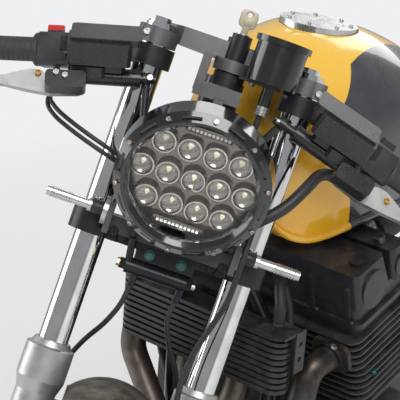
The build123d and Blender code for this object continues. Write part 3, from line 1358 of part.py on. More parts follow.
with BuildPart() as swingarm:
    with Locations(SWINGARM_PIVOT):
        Cylinder(23, 2 * (PLATE_X - 15 - FIT_GAP))
    with Locations((0, SWINGARM_PIVOT_Y + 30, SWINGARM_PIVOT_Z)):
        Box(150, 40, 36)
    with Locations((0, SWINGARM_PIVOT_Y + 42, SWINGARM_PIVOT_Z)):
        Box(2 * ARM_X + 22, 22, 36)
    for side in (-1, 1):
        with BuildSketch(Plane.YZ.offset(side * ARM_X - 11)):
            Polygon(
                (SWINGARM_PIVOT_Y + 46, SWINGARM_PIVOT_Z - 20),
                (SWINGARM_PIVOT_Y + 46, SWINGARM_PIVOT_Z + 20),
                (REAR_AXLE_Y + 44, REAR_TYRE_RADIUS + 22),
                (REAR_AXLE_Y + 44, REAR_TYRE_RADIUS - 22),
                align=None,
            )
        extrude(amount=22)
        with Locations(Location((side * (SHOCK_X - 10), SHOCK_FOOT[1], SHOCK_FOOT[2]), (0, 90, 0))):
            Cylinder(8, 44)
        with Locations((side * (ARM_X + 4), SHOCK_FOOT[1], SHOCK_FOOT[2] - 24)):
            Box(12, 34, 60)
    with BuildSketch(Plane.YZ.offset(-ARM_X + 12)):
        with Locations(Location((REAR_AXLE_Y - 78, REAR_TYRE_RADIUS + 72, 0), 47)):
            RectangleRounded(84, 52, 12)
    extrude(amount=62)
    with BuildSketch(Plane.YZ.offset(-ARM_X + 10)):
        with Locations((REAR_AXLE_Y - 72, REAR_TYRE_RADIUS + 34)):
            Rectangle(44, 60)
    extrude(amount=22)
    with Locations(Location((-REAR_HUB_LENGTH / 2 - DISC_THICK / 2, REAR_AXLE_Y, REAR_TYRE_RADIUS), (0, 90, 0))):
        Cylinder(REAR_DISC_RADIUS + 6, DISC_THICK + 2 * DISC_CLEARANCE, mode=Mode.SUBTRACT)
    with Locations(Location((-55, REAR_AXLE_Y, REAR_TYRE_RADIUS), (0, 90, 0))):
        Cylinder(76, 50, mode=Mode.SUBTRACT)
    with Locations(REAR_AXLE, SWINGARM_PIVOT):
        Cylinder(AXLE_RADIUS + FIT_GAP, 400, mode=Mode.SUBTRACT)
keep(swingarm, "swingarm", PARKED)

# Footrests on the frame plates, with the gear lever on the left and the brake pedal on the right
PEG_Y = 236.0
PEG_Z = 368.0
with BuildPart() as footrests:
    for side in (-1, 1):
        plate = PLATE_X + FRAME_TUBE + FIT_GAP
        with BuildSketch(Plane.YZ.offset(side * plate)):
            with BuildLine():
                Polyline((180, 398), (PEG_Y + 14, PEG_Z + 14), (PEG_Y + 14, PEG_Z - 14), (180, 300), close=True)
            make_face()
            fillet(vertices(), 8)
            with Locations((SWINGARM_PIVOT_Y, SWINGARM_PIVOT_Z)):
                Circle(AXLE_RADIUS + FIT_GAP, mode=Mode.SUBTRACT)
        extrude(amount=side * 8)
        with Locations(Location((side * (plate + 4), PEG_Y, PEG_Z), (0, 90 * side, 0))):
            Cylinder(9, 28, align=BOTTOM)
        with Locations(Location((side * (plate + 28), PEG_Y, PEG_Z), (0, 90 * side, 0))):
            Cylinder(11.5, 66, align=BOTTOM)
        lever = [(plate + 44, PEG_Y - 6, PEG_Z - 2), (plate + 44, 164, PEG_Z - 36), (plate + 44, 116, PEG_Z - 26)]
        add(bent_bar(on_side(side, lever), 5.5, [24]))
        with Locations(Location((side * (plate + 40), 116, PEG_Z - 26), (0, 90 * side, 0))):
            Cylinder(8, 34, align=BOTTOM)
keep(footrests, "footrests", PARKED)

with BuildPart() as rear_axle:
    with Locations(REAR_AXLE):
        Cylinder(AXLE_RADIUS, 2 * ARM_X + 44)
    with Locations(SWINGARM_PIVOT):
        Cylinder(AXLE_RADIUS, 2 * PLATE_X + 40)
keep(rear_axle, "rear_axle", PARKED)

with BuildPart() as shocks:
    for side in (-1, 1):
        foot, top = Vector(side * SHOCK_X, *SHOCK_FOOT[1:]), Vector(side * SHOCK_X, *SHOCK_TOP[1:])
        along = (top - foot).normalized()
        length = (top - foot).length
        for start, end, radius in ((-14, 110, 18), (50, length - 60, 29), (length - 60, length + 14, 18)):
            with BuildSketch(Plane(foot + along * start, x_dir=(1, 0, 0), z_dir=along)):
                Circle(radius)
            extrude(amount=end - start)
        for eye in (foot, top):
            with Locations(Location(tuple(eye), (0, 90, 0))):
                Cylinder(8 + FIT_GAP, 60, mode=Mode.SUBTRACT)
keep(shocks, "shocks", PARKED)

FRONT_SPROCKET_Y = 100.0
FRONT_SPROCKET_Z = 345.0


def chain_outline(inset):
    """The run of the chain round both sprockets, inside or outside its pitch line."""
    with BuildSketch() as made:
        with Locations((REAR_AXLE_Y, REAR_TYRE_RADIUS)):
            Circle(REAR_SPROCKET_RADIUS + inset)
        with Locations((FRONT_SPROCKET_Y, FRONT_SPROCKET_Z)):
            Circle(FRONT_SPROCKET_RADIUS + inset)
        make_hull()
    return made.sketch


with BuildPart() as front_sprocket:
    with BuildSketch(Plane.YZ.offset(CHAIN_X - 4)):
        with Locations((FRONT_SPROCKET_Y, FRONT_SPROCKET_Z)):
            Circle(FRONT_SPROCKET_RADIUS - 5 - FIT_GAP)
    extrude(amount=8)
    with BuildSketch(Plane.YZ.offset(SPROCKET_WALL_X + FIT_GAP)):
        with Locations((FRONT_SPROCKET_Y, FRONT_SPROCKET_Z)):
            Circle(18)
    extrude(amount=CHAIN_X + 10 - SPROCKET_WALL_X)
keep(front_sprocket, "front_sprocket", PARKED)

with BuildPart() as chain:
    with BuildSketch(Plane.YZ.offset(CHAIN_X - 8)):
        add(chain_outline(5))
        add(chain_outline(-5), mode=Mode.SUBTRACT)
    extrude(amount=16)
keep(chain, "chain", PARKED)

with BuildPart() as side_stand:
    with BuildSketch(Plane(STAND_PIVOT - stand_axis * (STAND_EYE / 2), x_dir=leg_line, z_dir=stand_axis)):
        Circle(17)
    extrude(amount=STAND_EYE)
    add(bent_bar([tuple(STAND_PIVOT + leg_line * 12), tuple(foot_upright - leg_line * 8)], 8.5))
    with Locations(PARKED.inverse() * Pos(*foot_parked)):
        Cylinder(20, 8, align=BOTTOM)
    with BuildSketch(Plane(STAND_PIVOT - stand_axis * STAND_EYE, x_dir=leg_line, z_dir=stand_axis)):
        Circle(6 + SHAFT_GAP)
    extrude(amount=2 * STAND_EYE, mode=Mode.SUBTRACT)
keep(side_stand, "side_stand", PARKED)
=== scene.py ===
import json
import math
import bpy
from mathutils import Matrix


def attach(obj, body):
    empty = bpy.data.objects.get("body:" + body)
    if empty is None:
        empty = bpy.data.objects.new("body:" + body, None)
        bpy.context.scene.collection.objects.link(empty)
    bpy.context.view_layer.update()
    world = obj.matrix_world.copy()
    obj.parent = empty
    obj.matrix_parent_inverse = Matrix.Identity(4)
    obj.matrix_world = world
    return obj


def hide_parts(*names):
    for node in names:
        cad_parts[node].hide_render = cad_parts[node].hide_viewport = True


bl_info = {
    "name": "Cafe Racer Finishes",
    "version": (1, 0, 0),
    "blender": (4, 5, 0),
    "location": "View3D > Sidebar > Cafe Racer",
    "description": "Finishes a cafe racer: paint, chrome, rubber, fasteners, tread, seat and studio",
    "category": "Object",
}

import bmesh
import bpy
from bpy.props import FloatProperty, FloatVectorProperty, IntProperty, PointerProperty
from mathutils import Matrix, Vector

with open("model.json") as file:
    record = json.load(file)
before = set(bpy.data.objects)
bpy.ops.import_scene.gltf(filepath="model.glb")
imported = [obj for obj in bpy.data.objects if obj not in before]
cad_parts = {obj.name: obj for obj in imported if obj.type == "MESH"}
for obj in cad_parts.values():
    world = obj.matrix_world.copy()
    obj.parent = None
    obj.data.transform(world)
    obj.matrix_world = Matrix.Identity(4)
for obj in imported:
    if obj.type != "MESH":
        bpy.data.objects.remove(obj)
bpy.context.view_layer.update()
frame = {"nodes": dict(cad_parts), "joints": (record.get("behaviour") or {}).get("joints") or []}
NODES = frame["nodes"]

# The bike's own places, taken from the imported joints
FORK_OFFSET = 0.035
WHEELBASE_HALF = 0.715
REAR_RADIUS = 0.321
RAKE = math.radians(25)

# Sizes that the added pieces share, in metres
CHAIN_PITCH = 0.015875
CHAIN_X = 0.096
FRONT_TEETH = 16
REAR_TEETH = 48
LAMP_SCREWS = 0.0955
PAD_REACH = 0.008
PIPING = 0.078
SIDEWAYS = Matrix(((0, 0, 1), (1, 0, 0), (0, 1, 0))).to_4x4()


def joint(name):
    """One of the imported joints, by name."""
    return next(j for j in frame["joints"] if j["name"] == name)


def place_at(origin, x, z):
    """The matrix of a place with its x and z directions."""
    x, z = x.normalized(), z.normalized()
    turned = Matrix((x, z.cross(x), z)).transposed().to_4x4()
    return Matrix.Translation(origin) @ turned


def shifted(place, x, y, z):
    """A place moved along its own directions."""
    return place @ Matrix.Translation((x, y, z))


def parked_place():
    """The upright bike's own place as it leans on its stand."""
    wheel = joint("rear_wheel_spin")
    across = Vector(wheel["axis"]).normalized()
    steer = Vector(joint("steering")["axis"]).normalized()
    back = steer.cross(across)
    up = steer * math.cos(RAKE) - back * math.sin(RAKE)
    return shifted(place_at(Vector(wheel["pos_m"]), across, up), 0, -WHEELBASE_HALF, -REAR_RADIUS)


PARKED = parked_place()
FORK = place_at(
    Vector(joint("steering")["pos_m"]),
    Vector(joint("front_wheel_spin")["axis"]),
    Vector(joint("steering")["axis"]),
)
FRONT_WHEEL = place_at(
    Vector(joint("front_wheel_spin")["pos_m"]),
    Vector(joint("front_wheel_spin")["axis"]),
    Vector(joint("steering")["axis"]),
)
REAR_WHEEL = shifted(PARKED, 0, WHEELBASE_HALF, REAR_RADIUS)
LAMP = shifted(FORK, 0, -FORK_OFFSET - 0.129, 0.106) @ Matrix.Rotation(math.radians(90) + RAKE, 4, "X")


# Shader helpers
def new_material(name):
    """An empty node material with one principled shader."""
    made = bpy.data.materials.new(name)
    made.use_nodes = True
    tree = made.node_tree
    tree.nodes.clear()
    output = tree.nodes.new("ShaderNodeOutputMaterial")
    shader = tree.nodes.new("ShaderNodeBsdfPrincipled")
    tree.links.new(shader.outputs["BSDF"], output.inputs["Surface"])
    return made, tree, shader


def node(tree, kind, inputs=None, **settings):
    """Adds a node, sets it up, and sets or links its inputs."""
    made = tree.nodes.new(kind)
    for name, value in settings.items():
        setattr(made, name, value)
    for socket, value in (inputs or {}).items():
        if isinstance(value, bpy.types.NodeSocket):
            tree.links.new(value, made.inputs[socket])
        else:
            made.inputs[socket].default_value = value
    return made


def rgba(colour, share=1.0):
    """A colour with its alpha, lightened or darkened by a share."""
    return (*(min(1.0, max(0.0, c * share)) for c in colour), 1.0)


def coords(tree, place=None):
    """Object coordinates, turned into a piece's own place when one is given."""
    source = node(tree, "ShaderNodeTexCoord").outputs["Object"]
    if place is None:
        return source
    inverse = place.inverted()
    return node(
        tree,
        "ShaderNodeMapping",
        {"Vector": source, "Location": inverse.to_translation(), "Rotation": inverse.to_euler("XYZ")},
    ).outputs["Vector"]


def noise(tree, vector, scale, detail=4.0, rough=0.55):
    """Noise strength over a surface."""
    return node(
        tree,
        "ShaderNodeTexNoise",
        {"Vector": vector, "Scale": scale, "Detail": detail, "Roughness": rough},
    ).outputs["Fac"]


def mixed(tree, factor, first, second):
    """A colour between two colours."""
    return node(tree, "ShaderNodeMix", {0: factor, 6: first, 7: second}, data_type="RGBA").outputs[2]


def between(tree, value, low, high, start=0.0, end=1.0):
    """A value mapped from one range to another, held at its ends."""
    return node(
        tree,
        "ShaderNodeMapRange",
        {"Value": value, "From Min": low, "From Max": high, "To Min": start, "To Max": end},
    ).outputs["Result"]


def maths(tree, operation, first, second=0.0):
    """One arithmetic step."""
    return node(tree, "ShaderNodeMath", {0: first, 1: second}, operation=operation).outputs[0]


def split(tree, vector):
    """The x, y and z of a vector."""
    return node(tree, "ShaderNodeSeparateXYZ", {"Vector": vector}).outputs


def bumped(tree, shader, height, distance):
    """Gives a shader relief from a height."""
    made = node(tree, "ShaderNodeBump", {"Height": height, "Distance": distance, "Strength": 1.0})
    tree.links.new(made.outputs["Normal"], shader.inputs["Normal"])


def dust_mask(tree, vector, amount):
    """Where dust has settled, mostly on what faces up."""
    facing = split(tree, node(tree, "ShaderNodeNewGeometry").outputs["Normal"])[2]
    upward = between(tree, facing, -0.3, 1.0, 0.25, 1.0)
    patches = between(tree, noise(tree, vector, 26, 8, 0.7), 0.42, 0.75, 0.0, amount)
    return maths(tree, "MULTIPLY", upward, patches)


DUST = (0.36, 0.3, 0.235)


def dusted(tree, shader, vector, base, amount, share=1.0):
    """Colours a shader with a base and the dust on it, and returns where the dust lies."""
    mask = dust_mask(tree, vector, amount)
    tree.links.new(mixed(tree, mask, base, rgba(DUST, share)), shader.inputs["Base Color"])
    return mask


def finish(
    name,
    colour,
    roughness,
    metallic=0.0,
    mottle=0.1,
    grain=500.0,
    relief=0.00005,
    dust=0.2,
    coat=0.0,
):
    """A worn everyday finish: uneven colour, fine grain, settled dust and rubbed roughness."""
    made, tree, shader = new_material(name)
    vector = coords(tree)
    broad = noise(tree, vector, 11, 5)
    fine = noise(tree, vector, grain, 3)
    tones = rgba(colour, 1 - mottle), rgba(colour, 1 + 2 * mottle)
    mask = dusted(tree, shader, vector, mixed(tree, between(tree, broad, 0.3, 0.7), *tones), dust)
    rubbed = between(tree, noise(tree, vector, 60, 6), 0.3, 0.7, roughness * 0.82, min(1.0, roughness * 1.25))
    rough = node(tree, "ShaderNodeMix", {0: mask, 2: rubbed, 3: 0.85}).outputs[0]
    tree.links.new(rough, shader.inputs["Roughness"])
    shader.inputs["Metallic"].default_value = metallic
    shader.inputs["Coat Weight"].default_value = coat
    shader.inputs["Coat Roughness"].default_value = 0.05
    bumped(tree, shader, fine, relief)
    return made


def satin(name, colour, roughness, dust=0.1, coat=0.0):
    """Black paint or plastic: even, with little dust and a low sheen."""
    made = finish(name, colour, roughness, 0.0, 0.12, 700, 0.00003, dust, coat)
    made.node_tree.nodes["Principled BSDF"].inputs["Specular IOR Level"].default_value = 0.35
    return made


def scratched_metal(name, colour, roughness, place=None, along=2, relief=0.00002, dust=0.08):
    """Polished or machined metal with fine lines along one direction."""
    made, tree, shader = new_material(name)
    vector = coords(tree, place)
    stretch = [900.0, 900.0, 900.0]
    stretch[along] = 12.0
    lined = node(tree, "ShaderNodeMapping", {"Vector": vector, "Scale": stretch}).outputs["Vector"]
    lines = noise(tree, lined, 1.0, 3)
    smudges = noise(tree, vector, 40, 6)
    base = mixed(tree, between(tree, smudges, 0.35, 0.7), rgba(colour), rgba(colour, 0.82))
    mask = dusted(tree, shader, vector, base, dust)
    rubbed = between(tree, maths(tree, "ADD", lines, smudges), 0.7, 1.3, roughness * 0.7, roughness * 1.5)
    rough = node(tree, "ShaderNodeMix", {0: mask, 2: rubbed, 3: 0.6}).outputs[0]
    tree.links.new(rough, shader.inputs["Roughness"])
    shader.inputs["Metallic"].default_value = 1.0
    bumped(tree, shader, lines, relief)
    return made


def dress(material, *names):
    """Gives CAD nodes their material."""
    for name in names:
        if name in NODES:
            slots = NODES[name].data.materials
            slots.clear()
            slots.append(material)


# Mesh and geometry-node helpers
def mesh_of(bm, name):
    """The mesh that a bmesh holds, which is then freed."""
    mesh = bpy.data.meshes.new(name)
    bm.to_mesh(mesh)
    bm.free()
    return mesh


def ended(tree, exit_, geometry, finish_socket, weld=None):
    """Ends a geometry tree: instances made real, welded if asked, and given their material."""
    solid = node(tree, "GeometryNodeRealizeInstances", {"Geometry": geometry})
    if weld:
        solid = node(tree, "GeometryNodeMergeByDistance", {"Geometry": solid.outputs[0], "Distance": weld})
    coloured = node(
        tree, "GeometryNodeSetMaterial", {"Geometry": solid.outputs[0], "Material": finish_socket}
    )
    tree.links.new(coloured.outputs[0], exit_.inputs["Geometry"])
    return tree


def new_piece(name, mesh, body, slot_name, *materials):
    """Links a finished mesh as a piece that rides on a body."""
    piece = bpy.data.objects.new(name, mesh)
    bpy.context.scene.collection.objects.link(piece)
    for material in materials:
        piece.data.materials.append(material)
    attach(piece, body)
    return piece


def geometry_tree(name, sockets):
    """A geometry tree with named inputs, its input and its output node."""
    tree = bpy.data.node_groups.new(name, "GeometryNodeTree")
    tree.interface.new_socket("Geometry", in_out="INPUT", socket_type="NodeSocketGeometry")
    for label, kind in sockets:
        tree.interface.new_socket(label, in_out="INPUT", socket_type="NodeSocket" + kind)
    tree.interface.new_socket("Geometry", in_out="OUTPUT", socket_type="NodeSocketGeometry")
    return tree, tree.nodes.new("NodeGroupInput"), tree.nodes.new("NodeGroupOutput")


def grown(name, mesh, tree, values):
    """Runs a geometry tree on a mesh and returns the plain mesh that it makes."""
    carrier = bpy.data.objects.new(name, mesh)
    bpy.context.scene.collection.objects.link(carrier)
    modifier = carrier.modifiers.new("grow", "NODES")
    modifier.node_group = tree
    for item in tree.interface.items_tree:
        if item.item_type == "SOCKET" and item.in_out == "INPUT" and item.name in values:
            modifier[item.identifier] = values[item.name]
    graph = bpy.context.evaluated_depsgraph_get()
    made = bpy.data.meshes.new_from_object(carrier.evaluated_get(graph), depsgraph=graph)
    bpy.data.objects.remove(carrier)
    made.name = name
    return made


def fastener_tree():
    """Stands a fastener head on each point, turned to the point's own direction."""
    tree, entry, exit_ = geometry_tree(
        "fasteners", (("Head", "Object"), ("Size", "Float"), ("Metal", "Material"))
    )
    facing = node(tree, "GeometryNodeInputNamedAttribute", {"Name": "facing"}, data_type="FLOAT_VECTOR")
    turn = node(tree, "FunctionNodeAlignRotationToVector", {"Vector": facing.outputs[0]}, axis="Z")
    head = node(tree, "GeometryNodeObjectInfo", {"Object": entry.outputs["Head"]})
    spread = node(
        tree,
        "GeometryNodeInstanceOnPoints",
        {
            "Points": entry.outputs["Geometry"],
            "Instance": head.outputs["Geometry"],
            "Rotation": turn.outputs[0],
            "Scale": entry.outputs["Size"],
        },
    )
    return ended(tree, exit_, spread.outputs[0], entry.outputs["Metal"])


def lathe(bm, profile, segments, place):
    """Adds a closed surface of revolution about z from (radius, height) pairs."""
    turns = [2 * math.pi * k / segments for k in range(segments)]
    rings = []
    for radius, height in profile:
        around = turns if radius else turns[:1]
        points = [Vector((radius * math.cos(t), radius * math.sin(t), height)) for t in around]
        rings.append([bm.verts.new(place @ point) for point in points])
    for low, high in zip(rings, rings[1:]):
        for k in range(segments):
            n = (k + 1) % segments
            corners = [low[k % len(low)], low[n % len(low)], high[n % len(high)], high[k % len(high)]]
            bm.faces.new(list(dict.fromkeys(corners)))


def head_mesh(sides, recess):
    """A unit fastener head: round with a six-sided socket, or a hexagon with a washer."""
    bm = bmesh.new()
    if recess:
        lathe(bm, [(0, -0.1), (1, -0.1), (1, 0.75), (0.86, 0.95), (0.6, 0.95)], 24, Matrix.Identity(4))
        rim = [v for v in bm.verts if abs(v.co.z - 0.95) < 1e-6 and v.co.length < 1.15]
        rim.sort(key=lambda v: math.atan2(v.co.y, v.co.x))
        for vert in rim:
            angle = math.atan2(vert.co.y, vert.co.x) % (math.pi / 3) - math.pi / 6
            reach = 0.52 / math.cos(angle)
            vert.co.xy = vert.co.xy.normalized() * reach
        foot = [bm.verts.new(v.co - Vector((0, 0, 0.5))) for v in rim]
        for k, vert in enumerate(rim):
            n = (k + 1) % len(rim)
            bm.faces.new([vert, rim[n], foot[n], foot[k]])
        bm.faces.new(foot)
    else:
        lathe(bm, [(0, -0.1), (1.25, -0.1), (1.25, 0.08), (1.0, 0.08)], 24, Matrix.Identity(4))
        lathe(bm, [(1.0, 0.05), (1.0, 0.6), (0.85, 0.72), (0, 0.72)], sides, Matrix.Identity(4))
    bmesh.ops.remove_doubles(bm, verts=bm.verts, dist=1e-5)
    bmesh.ops.recalc_face_normals(bm, faces=bm.faces)
    return mesh_of(bm, "fastener_head")


def fasten(name, body, slot_name, material, spots, size, recess=True):
    """One piece of like fasteners, each spot a point and its outward direction."""
    points = bpy.data.meshes.new(name)
    points.from_pydata([tuple(spot) for spot, _ in spots], [], [])
    facing = points.attributes.new("facing", "FLOAT_VECTOR", "POINT")
    for item, (_, direction) in zip(facing.data, spots):
        item.vector = direction.normalized()
    head = bpy.data.objects.new("head", head_mesh(6, recess))
    made = grown(name, points, fastener_tree(), {"Head": head, "Size": size, "Metal": material})
    bpy.data.objects.remove(head)
    return new_piece(name, made, body, slot_name)


def unit(x, y, z):
    """A direction of length one."""
    return Vector((x, y, z)).normalized()


def in_place(place, spots):
    """Spots given in a place's own frame, as (point, direction) pairs in the bike's frame."""
    turn = place.to_3x3()
    return [(place @ Vector(at), turn @ Vector(way)) for at, way in spots]


def ring(radius, count, level, start=0.0, way=1):
    """Spots evenly round the x axis, facing along it."""
    turns = [start + 2 * math.pi * k / count for k in range(count)]
    return [((level, radius * math.cos(t), radius * math.sin(t)), (way, 0, 0)) for t in turns]


def smooth(mesh, angle=35.0):
    """Shades a mesh smooth apart from its sharp edges."""
    mesh.polygons.foreach_set("use_smooth", [True] * len(mesh.polygons))
    mesh.set_sharp_from_angle(angle=math.radians(angle))
    return mesh


def turned(name, profiles, segments=48, place=None):
    """A smooth mesh of surfaces of revolution about a place's z axis."""
    bm = bmesh.new()
    for profile in profiles:
        lathe(bm, profile, segments, place or Matrix.Identity(4))
    bmesh.ops.remove_doubles(bm, verts=bm.verts, dist=1e-6)
    bmesh.ops.recalc_face_normals(bm, faces=bm.faces)
    return smooth(mesh_of(bm, name))


def ribbed(inner, outer, first, pitch, share, count, bore):
    """The closed profile of a sleeve with count square ribs, for turned."""
    rows = []
    for k in range(count):
        level = first + k * pitch
        rise, fall, foot = (level + part for part in share)
        rows += [(inner, level), (outer, rise), (outer, fall), (inner, foot)]
    return [*rows, (bore, rows[-1][1]), (bore, rows[0][1]), rows[0]]


def slab(name, outline, thickness, place, bevel=0.0, hole=None):
    """A flat plate of an outline with an optional round hole, its edges eased."""
    bm = bmesh.new()
    lower = [bm.verts.new((x, y, -thickness / 2)) for x, y in outline]
    edges = [bm.edges.new((a, b)) for a, b in zip(lower, lower[1:] + lower[:1])]
    if hole:
        at_x, at_y, radius = hole
        turns = [2 * math.pi * k / 24 for k in range(24)]
        inner = [
            bm.verts.new((at_x + radius * math.cos(t), at_y + radius * math.sin(t), -thickness / 2))
            for t in turns
        ]
        edges += [bm.edges.new((a, b)) for a, b in zip(inner, inner[1:] + inner[:1])]
    filled = bmesh.ops.triangle_fill(bm, edges=edges, use_beauty=True)
    faces = [item for item in filled["geom"] if isinstance(item, bmesh.types.BMFace)]
    raised = bmesh.ops.extrude_face_region(bm, geom=faces)
    bmesh.ops.translate(
        bm, verts=[v for v in raised["geom"] if isinstance(v, bmesh.types.BMVert)], vec=(0, 0, thickness)
    )
    bmesh.ops.recalc_face_normals(bm, faces=bm.faces)
    if bevel:
        sharp = [e for e in bm.edges if len(e.link_faces) == 2 and e.calc_face_angle() > 0.6]
        bmesh.ops.bevel(bm, geom=sharp, offset=bevel, segments=2, affect="EDGES", profile=0.6)
    bmesh.ops.transform(bm, matrix=place, verts=bm.verts)
    return smooth(mesh_of(bm, name))


def copies_tree():
    """Stands one object on each point, turned by the point's own angles."""
    tree, entry, exit_ = geometry_tree(
        "copies", (("Part", "Object"), ("Finish", "Material"), ("Merge Distance", "Float"))
    )
    turn = node(tree, "GeometryNodeInputNamedAttribute", {"Name": "turn"}, data_type="FLOAT_VECTOR")
    angles = node(tree, "FunctionNodeEulerToRotation", {"Euler": turn.outputs[0]})
    part = node(tree, "GeometryNodeObjectInfo", {"Object": entry.outputs["Part"]})
    spread = node(
        tree,
        "GeometryNodeInstanceOnPoints",
        {
            "Points": entry.outputs["Geometry"],
            "Instance": part.outputs["Geometry"],
            "Rotation": angles.outputs[0],
        },
    )
    return ended(
        tree, exit_, spread.outputs[0], entry.outputs["Finish"], entry.outputs["Merge Distance"]
    )


def repeat(name, part, places, material, weld=0.0):
    """One mesh of a part repeated at places."""
    points = bpy.data.meshes.new(name)
    points.from_pydata([tuple(p.to_translation()) for p in places], [], [])
    turn = points.attributes.new("turn", "FLOAT_VECTOR", "POINT")
    for item, place in zip(turn.data, places):
        item.vector = tuple(place.to_euler("XYZ"))
    carrier = bpy.data.objects.new("part", part)
    made = grown(name, points, copies_tree(), {"Part": carrier, "Finish": material, "Merge Distance": weld})
    bpy.data.objects.remove(carrier)
    return made


def coil_tree():
    """A round wire wound into a spring along z."""
    tree, entry, exit_ = geometry_tree(
        "coil",
        (
            ("Turns", "Float"),
            ("Radius", "Float"),
            ("Length", "Float"),
            ("Wire", "Float"),
            ("Finish", "Material"),
        ),
    )
    line = node(
        tree,
        "GeometryNodeCurveSpiral",
        {
            "Resolution": 28,
            "Rotations": entry.outputs["Turns"],
            "Start Radius": entry.outputs["Radius"],
            "End Radius": entry.outputs["Radius"],
            "Height": entry.outputs["Length"],
        },
    )
    section = node(
        tree, "GeometryNodeCurvePrimitiveCircle", {"Resolution": 12, "Radius": entry.outputs["Wire"]}
    )
    tube = node(
        tree,
        "GeometryNodeCurveToMesh",
        {"Curve": line.outputs[0], "Profile Curve": section.outputs[0], "Fill Caps": True},
    )
    return ended(tree, exit_, tube.outputs[0], entry.outputs["Finish"])


def joined(name, *meshes):
    """Several meshes as one."""
    bm = bmesh.new()
    for mesh in meshes:
        bm.from_mesh(mesh)
    return mesh_of(bm, name)


# What a user can change
class RacerPaint(bpy.types.PropertyGroup):
    tank: FloatVectorProperty(
        name="Tank", description="Main colour of the tank", subtype="COLOR", size=3, min=0, max=1,
        default=(0.9, 0.46, 0.012),
    )
    panel: FloatVectorProperty(
        name="Side panel", description="Colour of the tank's side panels", subtype="COLOR", size=3,
        min=0, max=1, default=(0.024, 0.026, 0.032),
    )
    frame: FloatVectorProperty(
        name="Frame", description="Colour of the frame and engine paint", subtype="COLOR", size=3,
        min=0, max=1, default=(0.022, 0.023, 0.026),
    )
    seat: FloatVectorProperty(
        name="Seat", description="Colour of the seat cover", subtype="COLOR", size=3, min=0, max=1,
        default=(0.035, 0.028, 0.024),
    )


class RacerDetail(bpy.types.PropertyGroup):
    lamp_bolt: FloatProperty(
        name="Lamp bolt", description="Radius of the headlight ring's screws", subtype="DISTANCE",
        unit="LENGTH", default=0.0031, min=0.001, max=0.006,
    )
    tread_depth: FloatProperty(
        name="Tread depth", description="Depth of the tyre grooves", subtype="DISTANCE", unit="LENGTH",
        default=0.0045, min=0.001, max=0.008,
    )
    tread_pitch: IntProperty(
        name="Tread repeats", description="Grooves round the tyre", default=34, min=12, max=80
    )


def settings():
    """The sizes and colours of this scene."""
    return bpy.context.scene.racer_paint, bpy.context.scene.racer_detail


class RACER_OT_bodywork(bpy.types.Operator):
    """Paint the tank, its side panels and the tail"""

    bl_idname = "racer.bodywork"
    bl_label = "Bodywork"

    def execute(self, context):
        paint, _ = settings()
        made, tree, shader = new_material("tank_paint")
        vector = coords(tree, PARKED)
        x, y, z = split(tree, vector)
        wide = maths(tree, "ABSOLUTE", x)
        low_edge = between(tree, z, 0.735, 0.8, -0.24, -0.256)
        front = maths(tree, "ADD", low_edge, between(tree, z, 0.91, 0.953, 0.0, 0.04))
        behind = maths(tree, "GREATER_THAN", y, front)
        side = maths(tree, "GREATER_THAN", wide, between(tree, y, -0.235, 0.09, 0.096, 0.048))
        mask = maths(tree, "MULTIPLY", behind, side)
        flake = noise(tree, vector, 9, 3)
        # Painted highlight: the upper tank is blended towards a paler yellow with height, standing in for
        # light on its top
        painted_top_highlight = between(tree, z, 0.86, 0.99)
        yellow = mixed(tree, flake, rgba(paint.tank, 0.95), rgba(paint.tank, 1.05))
        yellow = mixed(tree, painted_top_highlight, yellow, rgba((0.92, 0.56, 0.07)))
        smoke = mixed(tree, noise(tree, vector, 5, 4), rgba(paint.panel), rgba((0.05, 0.052, 0.062)))
        colour = mixed(tree, mask, yellow, smoke)
        dusted(tree, shader, vector, colour, 0.1, 1.6)
        rubbed = noise(tree, vector, 50, 6)
        tree.links.new(between(tree, rubbed, 0.3, 0.7, 0.2, 0.32), shader.inputs["Roughness"])
        shader.inputs["Coat Weight"].default_value = 1.0
        shader.inputs["Coat Roughness"].default_value = 0.03
        bumped(tree, shader, noise(tree, vector, 160, 2), 0.00006)
        dress(made, "fuel_tank", "tail_cowl")
        bright = scratched_metal("filler_metal", (0.66, 0.66, 0.65), 0.26, dust=0.2)
        dress(bright, "filler_ring", "filler_cap")
        dress(finish("tail_lens", (0.42, 0.01, 0.012), 0.18, dust=0.05, coat=1.0), "tail_light")
        cap = shifted(PARKED, 0, -0.165, 0.974) @ Matrix.Rotation(math.radians(-9), 4, "X")
        around = [
            ((0.0455 * math.cos(t), 0.0455 * math.sin(t), 0.0092), (0, 0, 1))
            for t in (0.5 + 2 * math.pi * k / 7 for k in range(7))
        ]
        fasten("filler_screws", "chassis", "bright_metal", bright, in_place(cap, around), 0.0034)
        return {"FINISHED"}


